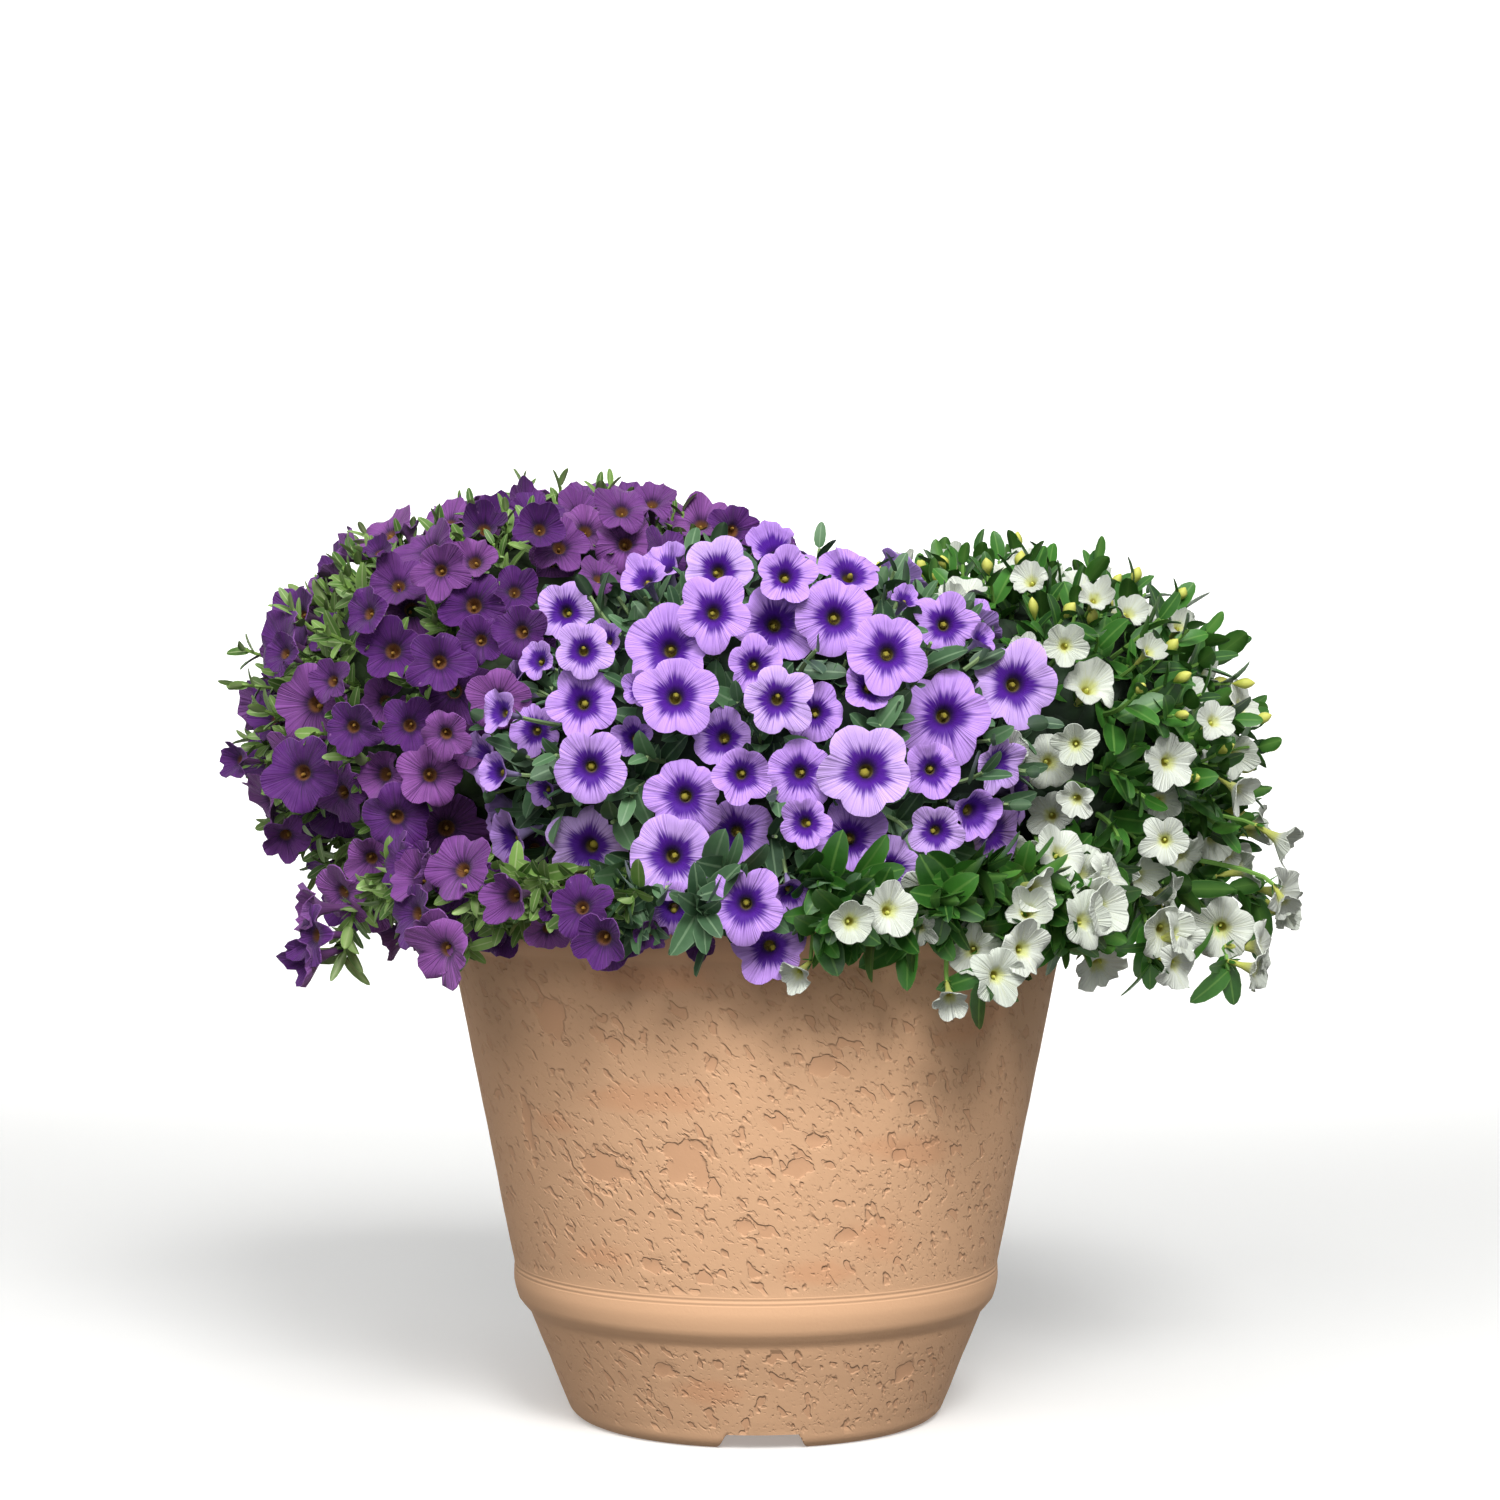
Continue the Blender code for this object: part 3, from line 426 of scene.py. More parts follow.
# A face looks out from its mound, turned down by the first share and to the front by the second where
# it would look less to the front than the third, and it wobbles by the fourth.
LESS_UP, TO_THE_FRONT, FRONT_ENOUGH, WOBBLE = 0.62, 0.45, 0.35, 0.25
# A sight line stops this far before it is closest to a mound that it misses, or before a wall, and two
# depths of a mound stand this far apart for each unit of their shares.
BEFORE_CLOSEST, BEFORE_WALL, DEPTH_STEP = 30, 20, 70
# How far the lobes of a bloom that hasn't opened draw in and rise, as shares.
SHUT_IN, SHUT_UP = 0.55, 0.75
# In shares of a face's radius before its middle: its stalk's end, its sepals' foot, its stigma's foot
# and the two end points of its corolla.
STALK_END, SEPAL_FOOT, STIGMA_FOOT, COROLLA_ENDS = -1.22, -1.27, -0.5, (-1.3, -0.62)
LEAF_THICKNESS = 0.56
# Degrees between a shoot and its rosette's lowest leaves, and how many fewer there are at its tip.
LOW_SPREAD, SPREAD_LOST = 74, 54
# A point within this share of another mound's size is deep inside it.
DEEP = 0.9
# Where the blooms of a long shoot leave it, as points of its path, and to which side they look.
BLOOMS_ALONG = ((9, 1), (13, -1), (17, 1), (20, -1), (22, 0))
# Upright walls part the mounds: from one point of the plan to the left, to the right and back.
MEETING = np.array((30.0, 8, 0))
BEHIND_LEFT = unit(np.array((-83.0, 180, 0)))
BEHIND_RIGHT = unit(np.array((93.0, 130, 0)))
RIGHT_OF_BACK = np.array((1.0, 0, 0))
WALLS = {
    "violet": (BEHIND_LEFT, -RIGHT_OF_BACK),
    "lavender": (-BEHIND_LEFT, -BEHIND_RIGHT),
    "white": (BEHIND_RIGHT, RIGHT_OF_BACK),
}

# A corolla's rows run from the foot of its tube, up its back, over its edge and down its throat:
# (share of the face's radius, share that it stands over the face's middle, 1 on the inner side).
FINE_COROLLA = (
    (0.085, -1.28, 0), (0.10, -1.05, 0), (0.125, -0.72, 0), (0.17, -0.46, 0), (0.26, -0.26, 0),
    (0.42, -0.145, 0), (0.64, -0.09, 0), (0.84, -0.06, 0), (0.98, -0.05, 0), (1.0, -0.03, 1),
    (0.93, -0.012, 1), (0.78, -0.02, 1), (0.60, -0.045, 1), (0.43, -0.085, 1), (0.30, -0.14, 1),
    (0.20, -0.25, 1), (0.13, -0.42, 1), (0.09, -0.6, 1),
)
PLAIN_COROLLA = (
    (0.085, -1.28, 0), (0.12, -0.72, 0), (0.22, -0.32, 0), (0.45, -0.135, 0), (0.76, -0.07, 0),
    (0.98, -0.05, 0), (0.96, -0.012, 1), (0.70, -0.03, 1), (0.42, -0.09, 1), (0.22, -0.22, 1),
    (0.11, -0.5, 1),
)


def golden_lattice(count):
    """Unit directions spread evenly over a sphere along a golden-angle spiral."""
    index = np.arange(count)
    height = 1 - (2 * index + 1) / count
    level = np.sqrt(1 - height ** 2)
    return turned(level, GOLDEN_ANGLE * index, height)


def clear_of_pot(points, margin=3.0):
    """True where a point is above the rim, outside of it, or in the open mouth over the soil."""
    level = np.hypot(points[..., 0], points[..., 1])
    over = points[..., 2] > RIM_TOP + margin
    outside = level > RIM_RADIUS + margin
    return over | outside | ((level < MOUTH_RADIUS) & (points[..., 2] > MOUTH_FLOOR))


def in_own_space(name, points, slack):
    """True where a point is on its plant's side of both walls, or past them by less than the slack,
    and isn't deep inside another mound."""
    inside = np.ones(points.shape[:-1], bool)
    for normal in WALLS[name]:
        inside &= (points - MEETING) @ normal > -slack
    for other, (centre, radii) in MOUNDS.items():
        if other != name:
            inside &= np.linalg.norm((points - centre) / radii, axis=-1) > DEEP
    return inside


def meeting(ways, start, size):
    """How far along lines from a start they come within a distance of the origin or, where they don't,
    are closest to it; and which of them do."""
    a = (ways ** 2).sum(1)
    b = ways @ start
    inside = b * b - a * (start @ start - size ** 2)
    return (-b - np.sqrt(np.maximum(inside, 0))) / a, inside > 0


def seen_at(name, spots, share):
    """Where the sight lines through spots of the photograph meet the mound. One that misses it stops a
    little before it is closest, one that meets a front wall of the plant's space stops before that,
    and one that would meet the pot's rim stops in front of it."""
    centre, radii = MOUNDS[name]
    offset = (spots - PHOTO_MIDDLE) * PIXEL
    way = np.stack([offset[:, 0], np.ones(len(spots)), -offset[:, 1]], 1)
    far, hits = meeting(way / radii, (CAMERA - centre) / radii, share)
    far = np.where(hits, far, far - BEFORE_CLOSEST)
    for normal in WALLS[name]:
        if normal[1] < -0.3:
            short = BEFORE_WALL - (CAMERA + way * far[:, None] - MEETING) @ normal
            far = far + np.maximum(short, 0) / normal[1]
    points = CAMERA + way * far[:, None]
    ring = RIM_RADIUS + IN_FRONT[name] + DEPTH_STEP * (share - 1)
    near, before = meeting(way[:, :2], CAMERA[:2], ring)
    low = (points[:, 2] < RIM_TOP + 9) & (np.hypot(points[:, 0], points[:, 1]) < ring)
    far = np.where(low & before, near, far)
    return CAMERA + way * far[:, None], far * PIXEL


def depth_shares(faces):
    """A share of the mound's size for each face of the photograph: each takes the one farthest from
    those of the earlier faces that it overlaps there, so that no two of them cut each other."""
    choices = np.array((1.0, 0.94, 1.06, 0.89, 1.11))
    shares = np.ones(len(faces))
    for index in range(1, len(faces)):
        apart = np.linalg.norm(faces[:index, :2] - faces[index, :2], axis=1)
        near = shares[:index][apart < (faces[:index, 2] + faces[index, 2]) * 0.55]
        if len(near):
            shares[index] = choices[np.abs(choices[:, None] - near).min(1).argmax()]
    return shares


def mound_blooms(name, faces, grown, count, radii_range, seed, spacing):
    """Middles, facings, radii and openness of a mound's blooms: those seen in the photograph, then a
    golden lattice of others wherever no face is near."""
    rng = np.random.default_rng(seed)
    centre, radii = MOUNDS[name]
    faces = np.array(faces, float)
    spots, scale = seen_at(name, faces[:, :2], depth_shares(faces))
    spots_radius = faces[:, 2] / 2 * scale * grown
    normal = unit((spots - centre) / radii ** 2)
    to_camera = unit(CAMERA - spots)
    lean = faces[:, 3:4]
    shaken = rng.normal(0, SCATTERED[name], spots.shape)
    looks = unit(normal * (0.25 + 0.75 * lean) + to_camera * (1 - lean) + shaken)
    directions = golden_lattice(count)
    share = rng.choice((0.92, 0.97, 1.01), count)
    middles = centre + radii * directions * share[:, None]
    size = rng.uniform(*radii_range, count)
    outward = unit(directions / radii)
    outward[:, 2] *= LESS_UP
    outward[:, 1] -= TO_THE_FRONT * np.maximum(0, FRONT_ENOUGH - outward[:, 1])
    outward = unit(outward + rng.uniform(-WOBBLE, WOBBLE, outward.shape))
    gaps = np.linalg.norm(middles[:, None] - spots[None], axis=-1).min(1)
    low = middles[:, 2] < RIM_TOP + size * 0.6
    level = np.hypot(middles[:, 0], middles[:, 1])
    kept = (gaps > spacing) & in_own_space(name, middles, 2) & ~(low & (level < RIM_RADIUS + 8))
    middles = np.concatenate([spots, middles[kept]])
    facings = np.concatenate([looks, outward[kept]])
    sizes = np.concatenate([spots_radius, size[kept]])
    openness = np.concatenate([1 - 0.5 * faces[:, 3], rng.choice((0.5, 0.75, 0.9, 1), kept.sum())])
    return middles, facings, sizes, openness


def clear_of_faces(points, blooms, radius=0.6, ahead=0.9):
    """True where a point isn't in a bloom or in front of one: under a share of its radius from its
    axis, and from a little behind its face to a full width before it."""
    middles, facings, sizes, _ = blooms
    away = points[:, None] - middles
    along = (away * facings).sum(-1)
    beside = np.sqrt(np.maximum((away ** 2).sum(-1) - along ** 2, 0))
    return ~((beside < sizes * radius) & (along > -0.4 * sizes) & (along < ahead * sizes)).any(1)


def apart_from(blooms, others, spacing):
    """The blooms whose middles are farther than the spacing from the middles of all the others."""
    gaps = np.linalg.norm(blooms[0][:, None] - others[0][None], axis=-1).min(1)
    return tuple(array[gaps > spacing] for array in blooms)


def joined(*groups):
    """Groups of blooms or shoots as one, each of their arrays put end to end."""
    return tuple(np.concatenate(parts) for parts in zip(*groups))


def frame_of(facing, twist):
    """Two unit vectors square to each facing and to each other, turned about it by the twist."""
    level = np.where(np.abs(facing[..., 2:]) > 0.95, np.array((1.0, 0, 0)), UP)
    side = unit(np.cross(level, facing))
    over = np.cross(facing, side)
    cos, sin = np.cos(twist)[..., None], np.sin(twist)[..., None]
    return side * cos + over * sin, over * cos - side * sin


def on_axis(blooms, share):
    """A point of each bloom's axis, a share of its radius before its middle."""
    middles, facings, sizes, _ = blooms
    return middles + facings * (sizes * share)[:, None]


def faced(blooms, twist, x, y, rise):
    """Points at each bloom's own x, y and rise over its middle, in shares of its radius."""
    middles, facings, sizes, _ = blooms
    side, over = frame_of(facings, twist)
    return middles[:, None, None] + sizes[:, None, None, None] * (
        x[..., None] * side[:, None, None] + y[..., None] * over[:, None, None]
        + rise[..., None] * facings[:, None, None]
    )


def lobe_forms(rng, count, angle, cleft, lobe_tilt, uneven):
    """The outline at each angle, which falls by the cleft between lobes like a ring of five discs, and
    the tilt and fold: the tilt is drawn for each lobe, and the fold bends a lobe's sides away from its
    middle."""
    lobe = np.round(angle / (math.tau / 5)).astype(int) % 5
    off_axis = (angle / (math.tau / 5) + 0.5) % 1 * 2 - 1
    heart = np.cos(off_axis * math.pi / 2) ** 2
    swell = rng.uniform(-uneven, uneven, (count, 5))[:, lobe] * heart
    tilt = rng.uniform(*lobe_tilt, (count, 5))[:, lobe] * heart
    dent = 0.03 * rng.uniform(0, 1, (count, 1)) * np.exp(-(off_axis / 0.14) ** 2)
    outline = 1.04 + swell - dent - cleft * rng.uniform(0.7, 1.2, (count, 1)) * np.abs(off_axis) ** 2.1
    fold = rng.uniform(-0.04, 0.09, (count, 1)) * (1 - 2 * np.abs(off_axis) ** 1.5)
    return outline, tilt + fold


def corollas(blooms, rows, steps, seed, cleft, ruffled, lobe_tilt, uneven):
    """Closed lobed funnels. On row (s, h) at angle t the distance from the axis is
    R s (1 + (outline - 1) w(s)) and the height R (h + (cup + bow) s^2 + (tilt + fold) s^3 + ruffle s^4).
    The cup shuts a young bloom, and the bow bends the whole face."""
    rng = np.random.default_rng(seed)
    count = len(blooms[0])
    rows = np.array(rows)
    angle = np.arange(steps) / steps * math.tau
    outline, bent = lobe_forms(rng, count, angle, cleft, lobe_tilt, uneven)
    waves = rng.integers(6, 12, (count, 1))
    ruffle = ruffled * np.sin(angle * waves + rng.uniform(0, math.tau, (count, 1)))
    bow = 2 * uneven * rng.uniform(-1, 1, (count, 1))
    bow = bow * np.cos(2 * (angle - rng.uniform(0, math.pi, (count, 1))))
    share, height = rows[:, 0][None, :, None], rows[:, 1][None, :, None]
    shut = 1 - blooms[3][:, None, None]
    spread = smooth(0.2, 0.95, share)
    far = share * (1 + (outline[:, None] - 1) * spread) * (1 - shut * SHUT_IN * spread)
    cup = rng.uniform(-0.06, 0.10, (count, 1, 1)) + shut * SHUT_UP
    rise = height + (cup + bow[:, None]) * share ** 2
    rise = rise + bent[:, None] * share ** 3 + ruffle[:, None] * share ** 4
    points = faced(blooms, rng.uniform(0, math.tau, count), far * np.cos(angle), far * np.sin(angle), rise)
    ends = [on_axis(blooms, place)[:, None] for place in COROLLA_ENDS]
    points = np.concatenate([ends[0], points.reshape(count, -1, 3), ends[1]], 1)
    flat = share * (1 + (outline[:, None] - 1) * spread)
    inner = np.broadcast_to(rows[:, 2][None, :, None], flat.shape)
    detail = np.stack([flat * np.cos(angle), flat * np.sin(angle), inner], -1).reshape(count, -1, 3)
    back_end, front_end = np.zeros((count, 1, 3)), np.tile((0.0, 0, 1), (count, 1, 1))
    detail = np.concatenate([back_end, detail, front_end], 1)
    draw = np.repeat(rng.uniform(0, 1, (count, 1, 3)), points.shape[1], 1)
    corners, face_sizes = skin_faces(count, len(rows), steps)
    return points * MM, corners, face_sizes, detail, draw


def ringed(first, rings, last, section, stations, draws):
    """Closed skins of rings between two end points. A point's detail is its section's x, its share of
    the length and its section's y."""
    points = np.concatenate([first[:, None], rings.reshape(len(rings), -1, 3), last[:, None]], 1)
    detail = np.stack(np.broadcast_arrays(section[:, 0], stations[:, None], section[:, 1]), -1)
    detail = np.concatenate([[(0, 0, 0)], detail.reshape(-1, 3), [(0, 1, 0)]])
    corners, sizes = skin_faces(len(points), len(stations), len(section))
    draw = np.repeat(draws[:, None], points.shape[1], 1)
    return points * MM, corners, sizes, np.repeat(detail[None], len(points), 0), draw


def blades(base, along, above, length, width, droop, fold, draws, stations=(0.1, 0.3, 0.55, 0.8, 0.94)):
    """Closed thin leaves. At share s the midrib is base + along L s - above L droop s^2, the half width
    is W (1 - |2 s^0.85 - 1|^2.3)^0.6 / 2 with its edge raised by the fold, and the section is left,
    rib, right, underside."""
    along, above = unit(along), unit(above - along * (above * along).sum(-1, keepdims=True))
    across = np.cross(along, above)
    s = np.array(stations)[None, :, None]
    long, wide = length[:, None, None], width[:, None, None]
    sag = droop[:, None, None]
    rib = base[:, None] + along[:, None] * long * s - above[:, None] * long * sag * s ** 2
    half = wide / 2 * (1 - np.abs(2 * s ** 0.85 - 1) ** 2.3) ** 0.6
    lifted = above[:, None] * half * fold
    thick = above[:, None] * LEAF_THICKNESS / 2
    left, right = rib - across[:, None] * half + lifted, rib + across[:, None] * half + lifted
    rings = np.stack([left, rib + thick, right, rib - thick], 2)
    tip = base + along * length[:, None] - above * (length * droop)[:, None]
    section = np.array([(-1, 0), (0, 1), (1, 0), (0, -1)])
    return ringed(base, rings, tip, section, np.array(stations), draws)


def tubes(paths, radii, around, draws):
    """Closed tubes along paths: a ring of the given radius at each point, square to the path."""
    ahead = unit(np.gradient(paths, axis=1))
    chord = paths[:, -1] - paths[:, 0]
    bow = paths[:, paths.shape[1] // 2] - (paths[:, 0] + paths[:, -1]) / 2
    level = np.cross(chord, bow) + 0.02 * np.cross(chord, np.array((0.3, 0.2, 1.0)))
    side = unit(np.cross(ahead, unit(level)[:, None]))
    over = np.cross(side, ahead)
    angle = np.arange(around) / around * math.tau
    round_it = side[:, :, None] * np.cos(angle)[:, None] - over[:, :, None] * np.sin(angle)[:, None]
    rings = paths[:, :, None] + round_it * radii[..., None, None]
    section = np.stack([np.cos(angle), np.sin(angle)], 1)
    return ringed(paths[:, 0], rings, paths[:, -1], section, np.linspace(0, 1, paths.shape[1]), draws)


def bowed(start, middle, end, steps):
    """Points of the curves (1-t)^2 start + 2t(1-t) middle + t^2 end."""
    t = np.linspace(0, 1, steps)[None, :, None]
    return (1 - t) ** 2 * start[:, None] + 2 * t * (1 - t) * middle[:, None] + t * t * end[:, None]


def over_the_rim(points, rise=1.6):
    """Points moved up so that none lies in the pot's wall or rim, each kept over its place in plan."""
    lifted = points.copy()
    level = np.hypot(points[..., 0], points[..., 1])
    near = (level > 128) & (level < RIM_RADIUS + 2)
    lifted[..., 2] = np.where(near, np.maximum(points[..., 2], RIM_TOP + rise), points[..., 2])
    return lifted


def stalks(name, blooms, seed):
    """Thin tubes from within the mound to the foot of each corolla's tube, bowed to meet it square."""
    rng = np.random.default_rng(seed)
    middles, facings = blooms[:2]
    centre = MOUNDS[name][0]
    foot = on_axis(blooms, STALK_END)
    root = centre + (foot - centre) * 0.72
    root[:, 2] = np.maximum(root[:, 2], RIM_TOP + ROOT_LIFT)
    level = np.hypot(root[:, 0], root[:, 1])
    inward = np.minimum(level, RIM_INSIDE) / np.maximum(level, 1e-6)
    root[:, :2] *= np.where(middles[:, 2] < LOW_BLOOM, inward, 1)[:, None]
    bend = foot - facings * STALK_BEND
    paths = over_the_rim(bowed(root, bend, foot, 7))
    paths[:, -1] = foot
    width = np.linspace(1.25, 0.95, 7)[None] * rng.uniform(0.85, 1.1, (len(foot), 1))
    return tubes(paths, width, 5, rng.uniform(0, 1, (len(foot), 3)))


def rosette_leaves(tips, axes, per, span, length, width, blooms, seed, room=(0.6, 0.9)):
    """Leaves set round the last stretch of each shoot by the golden angle, wide open low down and
    nearly closed at the tip, where they are shorter. None is left in the pot or before a bloom."""
    rng = np.random.default_rng(seed)
    count = len(tips)
    place = (np.arange(per) / (per - 1))[None, :, None]
    side, over = frame_of(axes, rng.uniform(0, math.tau, count))
    turn = (GOLDEN_ANGLE * np.arange(per) + rng.uniform(-0.35, 0.35, (count, per)))[..., None]
    spread = np.radians(LOW_SPREAD - SPREAD_LOST * place + rng.uniform(-14, 14, (count, per, 1)))
    round_it = side[:, None] * np.cos(turn) + over[:, None] * np.sin(turn)
    along = axes[:, None] * np.cos(spread) + round_it * np.sin(spread)
    base = tips[:, None] - axes[:, None] * span * (1 - place)
    size = rng.uniform(*length, (count, per)) * (1.05 - 0.4 * place[..., 0] ** 2)
    above = np.broadcast_to(axes[:, None], along.shape)
    base, along, above = (array.reshape(-1, 3) for array in (base, along, above))
    kept = fit_to_stay(base, along, size.ravel(), blooms, room)
    base, along, above, size = base[kept], along[kept], above[kept], size.ravel()[kept]
    return blades(
        base, along, above, size, size * rng.uniform(*width, len(size)), rng.uniform(-0.05, 0.25, len(size)),
        0.3, rng.uniform(0, 1, (len(size), 3)),
    )


def fit_to_stay(base, along, length, blooms, room=(0.6, 0.9)):
    """True for leaves that miss the pot and every bloom's room at their foot, middle and tip."""
    kept = np.ones(len(base), bool)
    for share in (0.0, 0.5, 1.0):
        points = base + unit(along) * (length * share)[:, None]
        kept &= clear_of_pot(points, 2) & clear_of_faces(points, blooms, *room)
    return kept


def mound_sprigs(name, count, reach, blooms, seed, room=(0.45, 0.7)):
    """Tips and directions of leafy shoots over a mound, on a golden lattice shaken by the seed."""
    rng = np.random.default_rng(seed)
    centre, radii = MOUNDS[name]
    directions = unit(golden_lattice(count) + rng.normal(0, 0.03, (count, 3)))
    tips = centre + radii * directions * rng.uniform(*reach, (count, 1))
    axes = unit(unit(directions / radii) + rng.normal(0, 0.22, (count, 3)) + np.array((0, -0.12, 0.08)))
    kept = in_own_space(name, tips, -2) & clear_of_pot(tips, 6)
    kept &= ~((tips[:, 2] < RIM_TOP) & (np.hypot(tips[:, 0], tips[:, 1]) < RIM_RADIUS + 5))
    kept &= clear_of_faces(tips, blooms, *room) & clear_of_faces(tips - axes * 12, blooms, *room)
    return tips[kept], axes[kept]


def skirt_sprigs(degrees, blooms, seed, drop, out=(7, 17)):
    """Tips and directions of shoots that lean out over the rim and hang, at angles from the front."""
    rng = np.random.default_rng(seed)
    turn = np.radians(np.array(degrees) + rng.normal(0, 1.5, len(degrees)))
    level = np.stack([np.sin(turn), -np.cos(turn), np.zeros(len(turn))], 1)
    far = RIM_RADIUS + rng.uniform(*out, len(turn))
    height = RIM_TOP - rng.uniform(*drop, len(turn))
    tips = level * far[:, None] + UP * height[:, None]
    spans = ((-0.7, 0.7), (0.3, 0.9), (-0.1, 0.8))
    aside, ahead, down = (rng.uniform(*span, (len(turn), 1)) for span in spans)
    axes = unit(level * ahead + np.cross(level, UP) * aside - UP * down)
    kept = clear_of_faces(tips, blooms, 0.5)
    return tips[kept], axes[kept]


def sprig_stems(name, tips, axes, seed):
    """Tubes from within the mound to each shoot's tip, lifted over the rim where they cross it."""
    rng = np.random.default_rng(seed)
    centre = MOUNDS[name][0]
    root = centre + (tips - centre) * 0.66
    root[:, 2] = np.maximum(root[:, 2], RIM_TOP + ROOT_LIFT)
    bend = tips - axes * SPRIG_BEND
    hanging = tips[:, 2] < RIM_TOP + 6
    level = unit(tips * np.array((1, 1, 0)))
    root = np.where(hanging[:, None], level * 120 + UP * (RIM_TOP + 5), root)
    bend = np.where(hanging[:, None], level * (RIM_RADIUS + 3) + UP * (RIM_TOP + 12), bend)
    paths = over_the_rim(bowed(root, bend, tips, 8))
    width = np.linspace(1.5, 0.8, 8)[None] * rng.uniform(0.85, 1.1, (len(tips), 1))
    return tubes(paths, width, 5, rng.uniform(0, 1, (len(tips), 3)))


def long_path(centre, shoot, phase):
    """A shoot's path: from within its mound to the rim, then a quarter of an ellipse out and down, with
    a sway to the sides and in height of 3 t sin(7 t + phase) degrees and 3 t sin(9 t + phase) mm."""
    leaves_at, ends_at, far, height = shoot
    t = np.linspace(0, 1, 20)
    turn = np.radians(leaves_at + (ends_at - leaves_at) * t + 3 * np.sin(7 * t + phase) * t)
    crest = np.array((RIM_RADIUS - 4, RIM_TOP + 5))
    reach = crest[0] + (far - crest[0]) * np.sin(t * math.pi / 2)
    drop = (crest[1] - height) * (1 - np.cos(t * math.pi / 2)) - 3 * np.sin(t * 9 + phase) * t
    path = np.stack([reach * np.sin(turn), -reach * np.cos(turn), crest[1] - drop], 1)
    root = centre + (path[0] - centre) * 0.62
    root[2] = crest[1]
    return np.concatenate([root[None] + (path[0] - root) * np.array((0, 0.35, 0.7))[:, None], path])


def leaf_pairs(path, ahead, side, rng):
    """Two leaves at each point of a long shoot from its fifth, each pair turned on from the last one by
    97 degrees: their feet, their ways and the ways that their upper sides face."""
    nodes = np.arange(4, len(path))
    over = np.cross(side, ahead)
    around = (np.arange(len(nodes)) * 1.7 + rng.uniform(-0.3, 0.3, len(nodes)))[:, None]
    round_it = side[nodes] * np.cos(around) + over[nodes] * np.sin(around)
    ways = [sign * round_it * 0.8 + ahead[nodes] * 0.6 - UP * 0.15 for sign in (1, -1)]
    return np.tile(path[nodes], (2, 1)), np.concatenate(ways), np.tile(ahead[nodes] + UP * 0.4, (2, 1))


def blooms_along(path, side, radius_range, rng):
    """Rows for the five blooms of a long shoot: their stalks' feet, middles, facings and radii."""
    rows = []
    for place, lift in BLOOMS_ALONG:
        size = rng.uniform(*radius_range)
        aside = side[place] * lift * rng.uniform(0.2, 0.8) + UP * rng.uniform(-0.35, 0.35)
        out = unit(path[place] * np.array((1, 1, 0)))
        look = unit(out * 0.8 + aside + np.array((0, -0.4, 0)))
        rows.append((*path[place], *(path[place] + look * size * 1.25 + UP * 4), *look, size))
    return rows


def trailing(name, shoots, radius_range, leaf, seed):
    """Long shoots over the rim. Returns skins of their stems, the places of their leaves, and their
    blooms."""
    rng = np.random.default_rng(seed)
    paths, leaves, rows = [], [], []
    for shoot in shoots:
        path = long_path(MOUNDS[name][0], shoot, rng.uniform(0, math.tau))
        ahead = unit(np.gradient(path, axis=0))
        side = unit(np.cross(ahead, UP))
        paths.append(path)
        leaves.append(leaf_pairs(path, ahead, side, rng))
        rows += blooms_along(path, side, radius_range, rng)
    paths, rows = np.array(paths), np.array(rows)
    width = np.linspace(1.5, 0.9, paths.shape[1])[None] * np.ones((len(paths), 1))
    feet = rows[:, :3]
    blooms = (rows[:, 3:6], rows[:, 6:9], rows[:, 9], rng.choice((0.55, 0.8, 0.95), len(rows)))
    foot = on_axis(blooms, STALK_END)
    short = tubes(bowed(feet, foot - blooms[1] * 3, foot, 5), np.full((len(feet), 5), 0.95), 5, feet * 0)
    stems = tubes(over_the_rim(paths), width, 6, rng.uniform(0, 1, (len(paths), 3)))
    base, way, above = joined(*leaves)
    way = way + rng.normal(0, 0.2, way.shape)
    return [stems, short], (base, way, above, rng.uniform(*leaf, len(base))), blooms


def trailing_leaves(places, blooms, ratio, seed):
    """The long shoots' leaves, without those in the pot or before a bloom."""
    rng = np.random.default_rng(seed)
    base, way, above, size = places
    kept = fit_to_stay(base, way, size, blooms)
    base, way, above, size = (array[kept] for array in places)
    bend = rng.uniform(0, 0.3, len(size))
    return blades(base, way, above, size, size * ratio, bend, 0.25, rng.uniform(0, 1, (len(size), 3)))


def heart_skin(name, share, seed):
    """The heart of a mound, a dark body of painted shade where its inside would lie in shade: its
    ellipsoid at a share of its size, lumpy by value noise, with a flat underside over the rim."""
    centre, radii = MOUNDS[name]
    rings, around = 34, 60
    tilt = np.linspace(-math.pi / 2, math.pi / 2, rings + 2)[1:-1, None]
    turn = np.arange(around) / around * math.tau
    ways = turned(np.cos(tilt), turn, np.sin(tilt)).reshape(-1, 3)
    ways = np.concatenate([[(0, 0, -1.0)], ways, [(0, 0, 1.0)]])
    lumps = 1 + 0.10 * cloud(ways * 6, seed) + 0.06 * cloud(ways * 15, seed + 1)
    points = centre + radii * ways * share * lumps[:, None]
    for normal in WALLS[name]:
        past = np.minimum((points - MEETING) @ normal - 2, 0)
        points = points - past[:, None] * normal
    points[:, 2] = np.maximum(points[:, 2], RIM_TOP + 2)
    corners, sizes = skin_faces(1, rings, around)
    return points * MM, corners, sizes, ways, np.zeros_like(ways)


